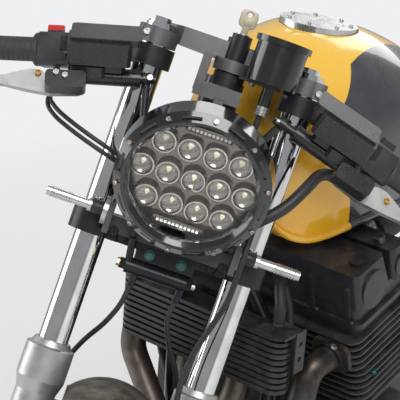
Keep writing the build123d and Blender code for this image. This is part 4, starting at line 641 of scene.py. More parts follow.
class RACER_OT_fork(bpy.types.Operator):
    """Finish the fork, yokes, axle, splitter and front mudguard, and bolt them up"""

    bl_idname = "racer.fork"
    bl_label = "Fork"

    def execute(self, context):
        chrome = scratched_metal("fork_chrome", (0.78, 0.79, 0.8), 0.06, FORK, dust=0.04)
        dress(chrome, "fork_tubes")
        cast = finish("cast_aluminium", (0.5, 0.5, 0.49), 0.4, 0.85, 0.12, 700, 0.00012, 0.25)
        dress(cast, "fork_sliders")
        black = satin("yoke_black", (0.011, 0.012, 0.014), 0.34, 0.1)
        dress(black, "bottom_yoke")
        dress(satin("splitter_black", (0.009, 0.011, 0.016), 0.3, 0.06), "brake_splitter")
        dress(finish("yoke_grey", (0.12, 0.125, 0.13), 0.42, 0.5, 0.2, 600, 0.0001, 0.14), "top_yoke")
        dress(scratched_metal("axle_steel", (0.45, 0.45, 0.45), 0.35), "front_axle", "rear_axle")
        guard = finish("mudguard_plastic", (0.03, 0.026, 0.023), 0.55, 0.0, 0.2, 900, 0.00008, 0.6)
        dress(guard, "front_mudguard")
        hose = finish("hose_rubber", (0.013, 0.013, 0.014), 0.48, 0.0, 0.15, 1500, 0.00008, 0.1)
        dress(hose, "brake_hoses", "control_cables", "oil_lines")
        dress(satin("caliper_black", (0.02, 0.02, 0.022), 0.42, 0.2), "front_calipers")
        silver = scratched_metal("bolt_silver", (0.62, 0.62, 0.61), 0.3)
        teal = finish("bolt_teal", (0.07, 0.2, 0.185), 0.34, 0.5, 0.2, 900, 0.00003, 0.1)
        brass = finish("bolt_zinc", (0.62, 0.52, 0.26), 0.3, 0.9, 0.15, 900, 0.00003, 0.1)
        dark = finish("bolt_black", (0.03, 0.03, 0.032), 0.32, 0.6, 0.1, 900, 0.00003, 0.1)
        groups = (
            ("yoke_bolts_teal", teal, 0.0055, False, [
                ((-0.0197, -0.0592, -0.0023), (0, -1, 0)), ((0.0241, -0.0592, -0.002), (0, -1, 0)),
            ]),
            ("splitter_bolt_left", brass, 0.0056, False, [((-0.0542, -0.054, -0.0233), (-1, 0, 0))]),
            ("splitter_bolt_right", silver, 0.005, True, [((0.0462, -0.054, -0.0233), (1, 0, 0))]),
            ("yoke_bolts_black", dark, 0.0062, True, [
                ((-0.0741, -0.0687, 0.0135), (0, -1, 0)), ((0.0752, -0.0687, 0.0139), (0, -1, 0)),
                ((-0.0615, -0.0592, 0.009), (0, -1, 0)), ((0.0625, -0.0592, 0.009), (0, -1, 0)),
            ]),
            ("yoke_bolts_silver", silver, 0.0046, True, [
                ((-0.1188, -0.0612, 0.2739), (0, -1, 0)), ((0.12, -0.0612, 0.2699), (0, -1, 0)),
            ]),
        )
        for name, metal, size, recess, spots in groups:
            fasten(name, "steering", "steel", metal, in_place(FORK, spots), size, recess)
        return {"FINISHED"}


class RACER_OT_headlight(bpy.types.Operator):
    """Finish the headlight, its lenses, bowls, light strips and ten screws"""

    bl_idname = "racer.headlight"
    bl_label = "Headlight"

    def execute(self, context):
        _, detail = settings()
        gloss = satin("lamp_gloss", (0.006, 0.006, 0.007), 0.13, 0.05, coat=1.0)
        dress(gloss, "headlight_bezel", "headlight_shell")
        glass, tree, shader = new_material("lamp_glass")
        shader.inputs["Base Color"].default_value = (1, 1, 1, 1)
        shader.inputs["Transmission Weight"].default_value = 1.0
        shader.inputs["IOR"].default_value = 1.32
        smears = noise(tree, coords(tree), 30, 6)
        tree.links.new(between(tree, smears, 0.55, 0.85, 0.0, 0.05), shader.inputs["Roughness"])
        dress(glass, "headlight_lens")
        NODES["headlight_lens"].visible_shadow = False
        beads, tree, shader = new_material("projector_glass")
        shader.inputs["Base Color"].default_value = (0.98, 0.99, 1.0, 1)
        shader.inputs["Transmission Weight"].default_value = 1.0
        shader.inputs["IOR"].default_value = 1.5
        swirl = noise(tree, coords(tree), 50, 6)
        tree.links.new(between(tree, swirl, 0.5, 0.8, 0.0, 0.03), shader.inputs["Roughness"])
        mirror = scratched_metal("lamp_interior", (0.2, 0.17, 0.15), 0.1, LAMP, dust=0.0)
        dress(mirror, "headlight_reflector")
        bracket = finish("bracket_grey", (0.1, 0.1, 0.1), 0.36, 0.7, 0.1, 600, 0.00006, 0.12)
        dress(bracket, "headlight_bracket")

        pitch, row_pitch = 0.0338, 0.0399
        spots = [
            Vector(((column - (count - 1) / 2) * pitch, row * row_pitch - 0.0015, -0.016))
            for row, count in ((-1, 4), (0, 5), (1, 4))
            for column in range(count)
        ]
        places = [LAMP @ Matrix.Translation(spot) for spot in spots]
        bead = turned("bead", [[
            (0.0, 0.0001), (0.0126, 0.0001), (0.0143, 0.0001), (0.0143, 0.0016), (0.0132, 0.0018),
            (0.0126, 0.0032), (0.0112, 0.0052), (0.009, 0.0067), (0.006, 0.0077), (0.003, 0.0082),
            (0.0, 0.0083),
        ]], 32)
        domes = smooth(repeat("projector_domes", bead, places, beads))
        lenses = new_piece("projector_domes", domes, "steering", "projector_glass")
        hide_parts("projector_lenses")
        lenses.visible_shadow = False
        bowl = turned("bowl", [[
            (0.0, -0.0084), (0.0134, -0.0084), (0.0134, -0.0004), (0.0128, -0.0004), (0.0122, -0.0018),
            (0.0108, -0.0038), (0.0085, -0.0056), (0.0055, -0.0068), (0.0, -0.0072),
        ]], 28)
        shine = scratched_metal("bowl_mirror", (0.26, 0.23, 0.2), 0.12, LAMP, dust=0.0)
        bowls = smooth(repeat("lamp_bowls", bowl, places, shine))
        new_piece("lamp_bowls", bowls, "steering", "lamp_interior")
        ridge = turned("ridge", [[
            (0.0129, -0.0003), (0.0129, 0.0008), (0.0138, 0.0016), (0.0156, 0.0013), (0.0163, -0.0003),
            (0.0129, -0.0003),
        ]], 32)
        bright = scratched_metal("rim_mirror", (0.55, 0.52, 0.48), 0.1, LAMP, dust=0.0)
        rims = smooth(repeat("lamp_rims", ridge, places, bright))
        new_piece("lamp_rims", rims, "steering", "lamp_interior")
        chip = turned("chip", [[(0.0, 0.0009), (0.0026, 0.0009), (0.0032, 0.0), (0.0, 0.0)]], 4)
        glow = finish("lamp_chip", (0.8, 0.74, 0.5), 0.35, 0.0, 0.05, 900, 0.00002, 0.0)
        chips = [place @ Matrix.Translation((0, 0, -0.0071)) for place in places]
        new_piece("lamp_chips", repeat("lamp_chips", chip, chips, glow), "steering", "lamp_interior")
        cells = []
        for level in (-0.069, 0.066):
            cells += [LAMP @ Matrix.Translation((0.0053 * (k - 5), level, -0.0185)) for k in range(11)]
        cup = [(0.0, 0.0), (0.0018, 0.0), (0.0028, 0.0018), (0.0028, -0.0005), (0.0, -0.0005)]
        cell = turned("cell", [cup], 4)
        square = [place @ Matrix.Rotation(math.radians(45), 4, "Z") for place in cells]
        white = finish("lamp_cell", (0.9, 0.9, 0.86), 0.25, 0.0, 0.04, 900, 0.00002, 0.0)
        new_piece("lamp_strips", repeat("lamp_strips", cell, square, white), "steering", "lamp_interior")

        around = []
        for k in range(10):
            angle = math.radians(17 + 36 * k)
            local = Vector((LAMP_SCREWS * math.cos(angle), LAMP_SCREWS * math.sin(angle), 0.0045))
            around.append((local, Vector((0.72 * math.cos(angle), 0.72 * math.sin(angle), 1.0))))
        steel = scratched_metal("lamp_screw", (0.62, 0.52, 0.46), 0.3)
        fasten("lamp_screws", "steering", "gloss_black", steel, in_place(LAMP, around), detail.lamp_bolt)
        return {"FINISHED"}


class RACER_OT_stalks(bpy.types.Operator):
    """Finish, knurl and collar the indicator stalks"""

    bl_idname = "racer.stalks"
    bl_label = "Indicator stalks"

    def execute(self, context):
        bright = scratched_metal("stalk_aluminium", (0.66, 0.66, 0.64), 0.3, FORK, 0)
        dress(bright, "indicator_stalks")
        collar = [
            (0.0073, 0.002), (0.0092, 0.003), (0.0096, 0.0048), (0.0096, 0.018), (0.0088, 0.0195),
            (0.0073, 0.02), (0.0073, 0.002),
        ]
        dark = satin("stalk_collar", (0.02, 0.021, 0.024), 0.35, 0.08)
        ridges = ribbed(0.00655, 0.00735, 0.0455, 0.0034, (0.0007, 0.0021, 0.0028), 9, 0.0058)
        ends = []
        for side in (-1, 1):
            at = Vector((side * 0.0931, -FORK_OFFSET - 0.052, 0.0375))
            place = FORK @ Matrix.Translation(at) @ Matrix.Rotation(math.radians(90 * side), 4, "Y")
            ends.append(place)
        knurl = turned("knurl", [ridges], 32)
        rings = smooth(repeat("stalk_knurling", knurl, ends, bright), 20)
        new_piece("stalk_knurling", rings, "steering", "machined_aluminium")
        sleeves = smooth(repeat("stalk_collars", turned("collar", [collar], 32), ends, dark))
        new_piece("stalk_collars", sleeves, "steering", "yoke_black")
        return {"FINISHED"}


class RACER_OT_controls(bpy.types.Operator):
    """Finish the bars, grips, switches, reservoirs, levers, gauge and key"""

    bl_idname = "racer.controls"
    bl_label = "Controls"

    def execute(self, context):
        dress(satin("bar_black", (0.016, 0.017, 0.02), 0.36, 0.1), "handlebars", "ignition_switch")
        grip, tree, shader = new_material("grip_rubber")
        vector = coords(tree, FORK)
        x, y, z = split(tree, vector)
        level = maths(tree, "ADD", maths(tree, "MULTIPLY", y, 0.2817), maths(tree, "MULTIPLY", z, -0.2672))
        along = maths(tree, "ADD", maths(tree, "MULTIPLY", maths(tree, "ABSOLUTE", x), 0.9215), level)
        ribs = maths(tree, "SINE", maths(tree, "MULTIPLY", along, 900.0))
        worn = mixed(tree, noise(tree, vector, 30, 5), rgba((0.016, 0.017, 0.019)), rgba((0.05, 0.05, 0.055)))
        dusted(tree, shader, vector, worn, 0.2)
        shader.inputs["Roughness"].default_value = 0.58
        bumped(tree, shader, ribs, 0.0003)
        dress(grip, "grips")
        switch, tree, shader = new_material("switch_plastic")
        vector = coords(tree, FORK)
        x, y, z = split(tree, vector)
        height = maths(tree, "ADD", z, maths(tree, "MULTIPLY", x, -0.29))
        above = maths(tree, "GREATER_THAN", height, 0.3055)
        stop = maths(tree, "MULTIPLY", maths(tree, "LESS_THAN", x, -0.1), above)
        base = mixed(tree, noise(tree, vector, 25, 5), rgba((0.014, 0.016, 0.02)), rgba((0.04, 0.042, 0.048)))
        base = mixed(tree, dust_mask(tree, vector, 0.2), base, rgba(DUST))
        tree.links.new(mixed(tree, stop, base, rgba((0.62, 0.028, 0.03))), shader.inputs["Base Color"])
        shader.inputs["Roughness"].default_value = 0.42
        bumped(tree, shader, noise(tree, vector, 1400, 3), 0.00006)
        dress(switch, "switch_housings")
        dress(satin("under_seat", (0.02, 0.02, 0.022), 0.6, 0.2), "seat_base")
        pot, tree, shader = new_material("reservoir_black")
        vector = coords(tree)
        up = FORK.to_3x3() @ unit(0, -0.42, 0.9)
        facing = node(
            tree, "ShaderNodeVectorMath",
            {0: node(tree, "ShaderNodeNewGeometry").outputs["Normal"], 1: up}, operation="DOT_PRODUCT",
        ).outputs["Value"]
        lid = between(tree, facing, 0.86, 0.93)
        leather = noise(tree, vector, 420, 6, 0.7)
        tones = rgba((0.008, 0.008, 0.01)), rgba((0.03, 0.03, 0.034))
        dusted(tree, shader, vector, mixed(tree, between(tree, leather, 0.4, 0.7), *tones), 0.12)
        tree.links.new(between(tree, lid, 0, 1, 0.26, 0.42), shader.inputs["Roughness"])
        bumped(tree, shader, maths(tree, "MULTIPLY", leather, lid), 0.0009)
        dress(pot, "brake_master_cylinder", "clutch_master_cylinder")
        dress(finish("lever_silver", (0.42, 0.42, 0.41), 0.34, 0.95, 0.08, 600, 0.00004, 0.12), "levers")
        dress(satin("gauge_black", (0.007, 0.007, 0.008), 0.2, 0.06, coat=0.8), "speedometer")

        key = finish("key_head", (0.34, 0.31, 0.21), 0.42, 0.3, 0.2, 800, 0.00008, 0.3)
        outline = [
            (-0.0045, 0.0), (0.0045, 0.0), (0.0045, 0.0095), (0.0105, 0.0125), (0.012, 0.016),
            (0.012, 0.0285), (0.0095, 0.0335), (0.004, 0.0349), (-0.004, 0.0349), (-0.0095, 0.0335),
            (-0.012, 0.0285), (-0.012, 0.016), (-0.0105, 0.0125), (-0.0045, 0.0095),
        ]
        barrel = shifted(FORK, 0.002, -FORK_OFFSET - 0.015, 0.31)
        stand = barrel @ Matrix.Rotation(math.pi / 2, 4, "X")
        bow = slab("key_bow", outline, 0.004, stand, 0.0009, (0, 0.0285, 0.0032))
        head = new_piece("key_bow", bow, "steering", "key_head", key)
        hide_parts("ignition_key")
        patch = [(-0.006, 0.013), (0.006, 0.013), (0.006, 0.0225), (-0.006, 0.0225)]
        new_piece("key_pad", slab("key_pad", patch, 0.0058, stand, 0.0007), "steering", "key_head", key)
        washer = [(0.006, 0.0002), (0.0095, 0.0002), (0.0095, 0.0018), (0.006, 0.0018), (0.006, 0.0002)]
        collar = turned("lock_collar", [washer], 32, barrel)
        silver = scratched_metal("control_silver", (0.62, 0.62, 0.6), 0.28)
        new_piece("lock_collar", collar, "steering", "bar_black", silver)

        brass = finish("lever_pin", (0.5, 0.27, 0.07), 0.35, 0.9, 0.15, 900, 0.00003, 0.1)
        pins = [
            ((-0.2321, -0.0945, 0.1755), (-0.12, -0.9, 0.42)), ((0.2461, -0.0966, 0.167), (0.12, -0.9, 0.42)),
        ]
        fasten("lever_pins", "steering", "lever_silver", brass, in_place(FORK, pins), 0.0042)
        screws = [
            ((-0.1973, -0.1197, 0.184), (-0.12, -0.9, 0.42)),
            ((-0.2092, -0.1181, 0.184), (-0.12, -0.9, 0.42)),
            ((-0.0948, -0.084, 0.2171), (-0.06, -0.98, 0.21)),
            ((0.0816, -0.0816, 0.2184), (-0.96, 0, 0.27)),
        ]
        fasten("control_screws", "steering", "lever_silver", silver, in_place(FORK, screws), 0.004)
        nut = FORK @ Matrix.Translation((0.055, -FORK_OFFSET - 0.056, 0.2285))
        rings = ribbed(0.0081, 0.0093, -0.011, 0.0026, (0.0005, 0.0016, 0.0021), 5, 0.0062)
        knurl = turned("gauge_nut", [rings], 28, nut)
        new_piece("gauge_nut", knurl, "steering", "gloss_black", silver)
        studs = [((0.033, -0.0705, 0.2535), (0, 0, -1)), ((0.078, -0.0705, 0.2535), (0, 0, -1))]
        fasten("gauge_nuts", "steering", "gloss_black", silver, in_place(FORK, studs), 0.0042, False)
        dial = FORK @ Matrix.Translation((0.055, -FORK_OFFSET - 0.056, 0.3105))
        dome = [(0.0, 0.0042), (0.02, 0.0036), (0.0318, 0.0012), (0.0318, 0.0), (0.0, 0.0)]
        face = turned("gauge_glass", [dome], 48, dial)
        clear = satin("gauge_glass", (0.01, 0.012, 0.014), 0.05, 0.05, coat=1.0)
        new_piece("gauge_glass", face, "steering", "gloss_black", clear)
        return {"FINISHED"}


class RACER_OT_engine(bpy.types.Operator):
    """Finish the engine, exhaust, cooler and frame, and bolt the covers down"""

    bl_idname = "racer.engine"
    bl_label = "Engine and frame"

    def execute(self, context):
        paint, _ = settings()
        engine = finish("engine_black", paint.frame, 0.38, 0.0, 0.3, 500, 0.00012, 0.2)
        dress(engine, "crankcase", "cylinder_block", "cylinder_head")
        cover = finish("valve_cover_black", (0.013, 0.014, 0.017), 0.33, 0.0, 0.25, 350, 0.00012, 0.2)
        dress(cover, "valve_cover")
        dress(finish("cover_grey", (0.05, 0.051, 0.053), 0.38, 0.4, 0.2, 500, 0.0001, 0.2), "engine_covers")
        frame_paint = satin("black_paint", (0.01, 0.01, 0.011), 0.28, 0.12, coat=0.4)
        dress(frame_paint, "frame", "subframe", "swingarm", "side_stand", "front_rim", "rear_rim")
        zinc = finish("carburettor_metal", (0.42, 0.42, 0.41), 0.4, 0.9, 0.1, 600, 0.0001, 0.3)
        dress(zinc, "carburettors")
        gauze, tree, shader = new_material("filter_gauze")
        vector = coords(tree, PARKED)
        cells = node(tree, "ShaderNodeTexVoronoi", {"Vector": vector, "Scale": 420.0}).outputs["Distance"]
        tones = rgba((0.006, 0.006, 0.007)), rgba((0.09, 0.09, 0.095))
        woven = mixed(tree, between(tree, cells, 0.1, 0.5), *tones)
        tree.links.new(woven, shader.inputs["Base Color"])
        shader.inputs["Roughness"].default_value = 0.6
        bumped(tree, shader, cells, 0.0008)
        dress(gauze, "air_filters")
        header, tree, shader = new_material("header_steel")
        vector = coords(tree, PARKED)
        level = split(tree, vector)[2]
        stain = maths(tree, "ADD", level, maths(tree, "MULTIPLY", noise(tree, vector, 14, 5), 0.06))
        tones = rgba((0.19, 0.165, 0.14)), rgba((0.03, 0.03, 0.031))
        hot = mixed(tree, between(tree, stain, 0.5, 0.56), *tones)
        rust = between(tree, noise(tree, vector, 60, 8), 0.45, 0.7)
        dusted(tree, shader, vector, mixed(tree, rust, hot, rgba((0.1, 0.075, 0.055))), 0.3)
        shader.inputs["Metallic"].default_value = 0.75
        shader.inputs["Roughness"].default_value = 0.42
        bumped(tree, shader, noise(tree, vector, 260, 5), 0.0001)
        dress(header, "exhaust_headers")
        dress(satin("exhaust_black", (0.012, 0.012, 0.013), 0.42, 0.15), "silencer")
        cooler, tree, shader = new_material("cooler_black")
        vector = coords(tree, PARKED)
        row = maths(tree, "SINE", maths(tree, "MULTIPLY", split(tree, vector)[2], 2 * math.pi / 0.0092))
        tones = rgba((0.008, 0.008, 0.01)), rgba((0.028, 0.028, 0.032))
        dusted(tree, shader, vector, mixed(tree, noise(tree, vector, 20, 5), *tones), 0.25)
        shader.inputs["Roughness"].default_value = 0.34
        bumped(tree, shader, row, 0.0002)
        dress(cooler, "oil_cooler")
        disc = scratched_metal("disc_steel", (0.4, 0.4, 0.41), 0.22)
        dress(disc, "front_discs", "rear_disc")
        dress(finish("peg_aluminium", (0.45, 0.45, 0.44), 0.36, 0.85, 0.1, 500, 0.00006, 0.2), "footrests")
        silver = scratched_metal("stud_silver", (0.6, 0.6, 0.58), 0.3)
        teal = finish("stud_teal", (0.045, 0.16, 0.15), 0.32, 0.8, 0.2, 900, 0.00003, 0.1)
        dark = finish("case_bolt", (0.09, 0.09, 0.092), 0.35, 0.8, 0.15, 900, 0.00003, 0.15)

        covers = []
        for x, y, z, radius, depth in (
            (0.165, -0.159, 0.376, 0.078, 0.044),
            (-0.165, -0.159, 0.376, 0.056, 0.038),
            (-0.165, -0.02, 0.35, 0.078, 0.05),
        ):
            side = math.copysign(1, x)
            for at, way in ring(radius - 0.009, 8, 0.0, 0.3, side):
                covers.append(((x + side * depth, y + at[1], z + at[2]), way))
        fasten("cover_bolts", "chassis", "engine_black", dark, in_place(PARKED, covers), 0.0048)
        engine_place = shifted(PARKED, 0, -0.159, 0.376) @ Matrix.Rotation(math.radians(15), 4, "X")
        across = (-0.19, -0.09, 0.03, 0.13, 0.19)
        flange = [((x, y, 0.2702), (0, 0, 1)) for y in (-0.0655, 0.0655) for x in across]
        fasten("valve_cover_bolts", "chassis", "engine_black", dark, in_place(engine_place, flange), 0.0036)
        plugs = [((x, 0.026, 0.3502), (0, 0, 1)) for x in (-0.12, 0.04, 0.178)]
        fasten("valve_cover_plugs", "chassis", "engine_black", dark, in_place(engine_place, plugs), 0.0075)
        fasten("header_studs", "chassis", "steel", silver,
               in_place(PARKED, [((0.1715, -0.302, 0.579), (0.43, -0.24, 0.87))]), 0.0042, False)
        fasten("head_bolt", "chassis", "steel", teal,
               in_place(PARKED, [((0.1983, -0.234, 0.5247), (0, -0.26, 0.97))]), 0.0048, False)
        wheel_bolts = (
            ("front", FRONT_WHEEL, ring(0.042, 6, 0.0653) + ring(0.042, 6, -0.0653, way=-1)),
            ("rear", REAR_WHEEL, ring(0.038, 6, 0.0997) + ring(0.038, 6, -0.0798, way=-1)),
        )
        for name, place, spots in wheel_bolts:
            fasten(f"{name}_wheel_bolts", f"{name}_wheel", "steel", silver, in_place(place, spots), 0.005)
        return {"FINISHED"}


def spring_place(side):
    """The place of one shock absorber: its lower eye, z up its length. Also its length."""
    foot, top = Vector((side * 0.15, 0.64, 0.385)), Vector((side * 0.15, 0.455, 0.712))
    along = (top - foot).normalized()
    return PARKED @ place_at(foot, Vector((1, 0, 0)), along), (top - foot).length


class RACER_OT_driveline(bpy.types.Operator):
    """Link the chain, tooth the rear sprocket and coil the springs"""

    bl_idname = "racer.driveline"
    bl_label = "Chain and shocks"

    def execute(self, context):
        steel = finish("chain_steel", (0.2, 0.19, 0.17), 0.36, 0.9, 0.25, 500, 0.00008, 0.12)
        dress(steel, "front_sprocket", "rear_sprocket")
        pitch = CHAIN_PITCH
        front = (Vector((0.1, 0.345)), pitch / (2 * math.sin(math.pi / FRONT_TEETH)))
        rear = (Vector((0.715, 0.321)), pitch / (2 * math.sin(math.pi / REAR_TEETH)))
        gap = rear[0] - front[0]
        slope = math.atan2(gap.y, gap.x)
        lift = math.asin((rear[1] - front[1]) / gap.length)
        run = math.sqrt(gap.length**2 - (rear[1] - front[1]) ** 2)
        arcs = (math.pi - 2 * lift, math.pi + 2 * lift)
        loop = 2 * run + arcs[0] * front[1] + arcs[1] * rear[1]
        count = 2 * round(loop / pitch / 2)

        def on_loop(s):
            """The point and heading at a distance round the loop, from the top front tangent."""
            up = slope + math.pi / 2 + lift
            if s < run:
                heading = slope + lift
                at = front[0] + front[1] * Vector((math.cos(up), math.sin(up)))
                return at + s * Vector((math.cos(heading), math.sin(heading))), heading
            s -= run
            if s < arcs[1] * rear[1]:
                turn = up - s / rear[1]
                return rear[0] + rear[1] * Vector((math.cos(turn), math.sin(turn))), turn - math.pi / 2
            s -= arcs[1] * rear[1]
            down = slope - math.pi / 2 - lift
            if s < run:
                heading = slope + math.pi - lift
                at = rear[0] + rear[1] * Vector((math.cos(down), math.sin(down)))
                return at + s * Vector((math.cos(heading), math.sin(heading))), heading
            turn = down - (s - run) / front[1]
            return front[0] + front[1] * Vector((math.cos(turn), math.sin(turn))), turn - math.pi / 2

        def plates(across, half_width, waist):
            """A pair of side plates and their rollers, as one link about its own middle."""
            turns = [k * math.pi / 6 for k in range(7)]
            left = [(-pitch / 2 - half_width * math.sin(t), half_width * math.cos(t)) for t in turns]
            right = [(-x, -y) for x, y in left]
            shape = left + [(0, -waist)] + right + [(0, waist)]
            meshes = []
            for side in (-1, 1):
                place = Matrix.Translation((0, 0, side * across))
                meshes.append(slab("plate", shape, 0.0016, place))
            return meshes

        outer = plates(0.0066, 0.0047, 0.0037)
        inner = plates(0.0048, 0.0047, 0.0037)
        pin = [
            (0.0, -0.0074), (0.0024, -0.0074), (0.0024, -0.004), (0.0044, -0.004),
            (0.0044, 0.004), (0.0024, 0.004), (0.0024, 0.0074), (0.0, 0.0074),
        ]
        roller = [turned("roller", [pin], 12, Matrix.Translation((w * pitch / 2, 0, 0))) for w in (-1, 1)]
        links = (joined("outer_link", *outer, *roller), joined("inner_link", *inner))
        places = ([], [])
        for k in range(count):
            at, heading = on_loop(loop * (k + 0.5) / count)
            flat = shifted(PARKED, CHAIN_X, at.x, at.y) @ SIDEWAYS
            places[k % 2].append(flat @ Matrix.Rotation(heading, 4, "Z"))
        meshes = [repeat(f"links_{k}", links[k], places[k], steel) for k in (0, 1)]
        chain = new_piece("chain_links", joined("chain_links", *meshes), "chassis", "chain_steel", steel)
        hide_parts("chain")

        outline = [
            (-0.0035, -0.006), (0.0035, -0.006), (0.0022, 0.0008), (0.0009, 0.0034), (-0.0009, 0.0034),
            (-0.0022, 0.0008),
        ]
        tooth = slab("tooth", outline, 0.006, Matrix.Identity(4), 0.0006)
        hub = shifted(REAR_WHEEL, CHAIN_X, 0, 0)
        teeth = []
        for k in range(REAR_TEETH):
            turn = Matrix.Rotation(2 * math.pi * (k + 0.5) / REAR_TEETH, 4, "X")
            teeth.append(shifted(hub @ turn, 0, 0, rear[1] - 0.0035) @ SIDEWAYS)
        toothed = repeat("sprocket_teeth", tooth, teeth, steel)
        new_piece("sprocket_teeth", toothed, "rear_wheel", "chain_steel")

        chrome = scratched_metal("shock_chrome", (0.7, 0.7, 0.71), 0.1)
        black = satin("shock_black", (0.012, 0.012, 0.013), 0.3, 0.1)
        bodies, coils = [], []
        for side in (-1, 1):
            place, length = spring_place(side)
            turn = Matrix.Rotation(math.pi / 2, 4, "Y")
            eye = [
                (0.0085, -0.017), (0.0165, -0.017), (0.0175, -0.015), (0.0175, 0.015), (0.0165, 0.017),
                (0.0085, 0.017), (0.0085, -0.017),
            ]
            bodies += [
                turned("eye", [eye], 32, place @ turn),
                turned("eye", [eye], 32, place @ Matrix.Translation((0, 0, length)) @ turn),
                turned("damper", [
                    [(0.0, 0.012), (0.0145, 0.013), (0.0165, 0.02), (0.0165, 0.044), (0.0275, 0.047),
                     (0.0285, 0.05),
                     (0.0285, 0.055), (0.0185, 0.058), (0.0185, length * 0.55), (0.007, length * 0.555),
                     (0.007, length - 0.066), (0.0275, length - 0.064), (0.0285, length - 0.06),
                     (0.0285, length - 0.053), (0.0175, length - 0.045), (0.015, length - 0.014),
                     (0.0, length - 0.013)],
                ], 40, place),
            ]
            line = bpy.data.meshes.new("line")
            coil = grown("coil", line, coil_tree(), {
                "Turns": 10.5, "Radius": 0.0242, "Length": length - 0.126, "Wire": 0.0038, "Finish": black,
            })
            coil.transform(place @ Matrix.Translation((0, 0, 0.0595)))
            coils.append(coil)
        tubes = smooth(joined("shock_dampers", *bodies))
        dampers = new_piece("shock_dampers", tubes, "chassis", "shock_chrome", chrome)
        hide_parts("shocks")
        springs = smooth(joined("shock_springs", *coils), 60)
        new_piece("shock_springs", springs, "chassis", "black_paint", black)
        return {"FINISHED"}


def tyre_section(radius, width, sidewall):
    """Points (across, radius) over half a tyre, from the middle of its tread to its bead."""
    crown = width * 0.52
    rim = radius - sidewall + 0.0003

    def on_crown(x):
        return Vector((x, radius - crown + math.sqrt(crown**2 - x**2)))

    edge = width * 0.48
    tread = [on_crown(edge * k / 26) for k in range(27)]
    shoulder, foot = on_crown(edge), Vector((width * 0.36, rim))
    bulge = Vector((width / 2 - 0.0022, (rim + shoulder.y) / 2))
    wall = []
    for k in range(1, 13):
        t = k / 12
        wall.append(shoulder.lerp(bulge, t).lerp(bulge.lerp(foot, t), t))
    return tread + wall, len(tread)


class RACER_OT_tyres(bpy.types.Operator):
    """Cut the tread into both tyres"""

    bl_idname = "racer.tyres"
    bl_label = "Tyres"

    def execute(self, context):
        _, detail = settings()
        rubber = finish("tyre_rubber", (0.014, 0.014, 0.0145), 0.66, 0.0, 0.2, 900, 0.00015, 0.22)
        tyres = (
            ("front", FRONT_WHEEL, 0.293, 0.110, 0.077),
            ("rear", REAR_WHEEL, 0.321, 0.150, 0.105),
        )
        for name, place, radius, width, sidewall in tyres:
            half, treads = tyre_section(radius - 0.0004, width - 0.0008, sidewall)
            section = [Vector((-p.x, p.y)) for p in reversed(half[1:])] + half
            middle = len(half) - 1
            steps = 18
            angle = 2 * math.pi / detail.tread_pitch
            bm = bmesh.new()
            rows = []
            for step in range(steps + 1):
                turn = angle * step / steps
                row = []
                for index, point in enumerate(section):
                    across = index - middle
                    share = abs(across) / treads
                    depth = 0.0
                    if abs(across) < treads:
                        wave = (step / steps + 0.9 * share + (0.0 if across < 0 else 0.5)) % 1.0
                        slot = max(0.0, 1 - abs(wave - 0.5) / 0.09) if 0.16 < share < 0.86 else 0.0
                        rib = max(0.0, 1 - abs(abs(across) - 3) / 1.2) if share < 0.3 else 0.0
                        depth = detail.tread_depth * min(1.0, 1.7 * max(slot, rib))
                    out = point.y - depth
                    row.append(bm.verts.new((point.x, out * math.sin(turn), out * math.cos(turn))))
                rows.append(row)
            for low, high in zip(rows, rows[1:]):
                for k in range(len(section) - 1):
                    bm.faces.new((low[k], low[k + 1], high[k + 1], high[k]))
                bm.faces.new((low[-1], low[0], high[0], high[-1]))
            bmesh.ops.recalc_face_normals(bm, faces=bm.faces)
            segment = mesh_of(bm, "tread_segment")
            turns = [place @ Matrix.Rotation(angle * k, 4, "X") for k in range(detail.tread_pitch)]
            mesh = repeat(f"{name}_tread", segment, turns, rubber, 0.00002)
            bm = bmesh.new()
            bm.from_mesh(mesh)
            bmesh.ops.recalc_face_normals(bm, faces=bm.faces)
            mesh = mesh_of(bm, f"{name}_tread")
            mesh.materials.append(rubber)
            piece = new_piece(f"{name}_tyre_tread", smooth(mesh, 40), f"{name}_wheel", "tyre")
            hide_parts(f"{name}_tyre")
        return {"FINISHED"}


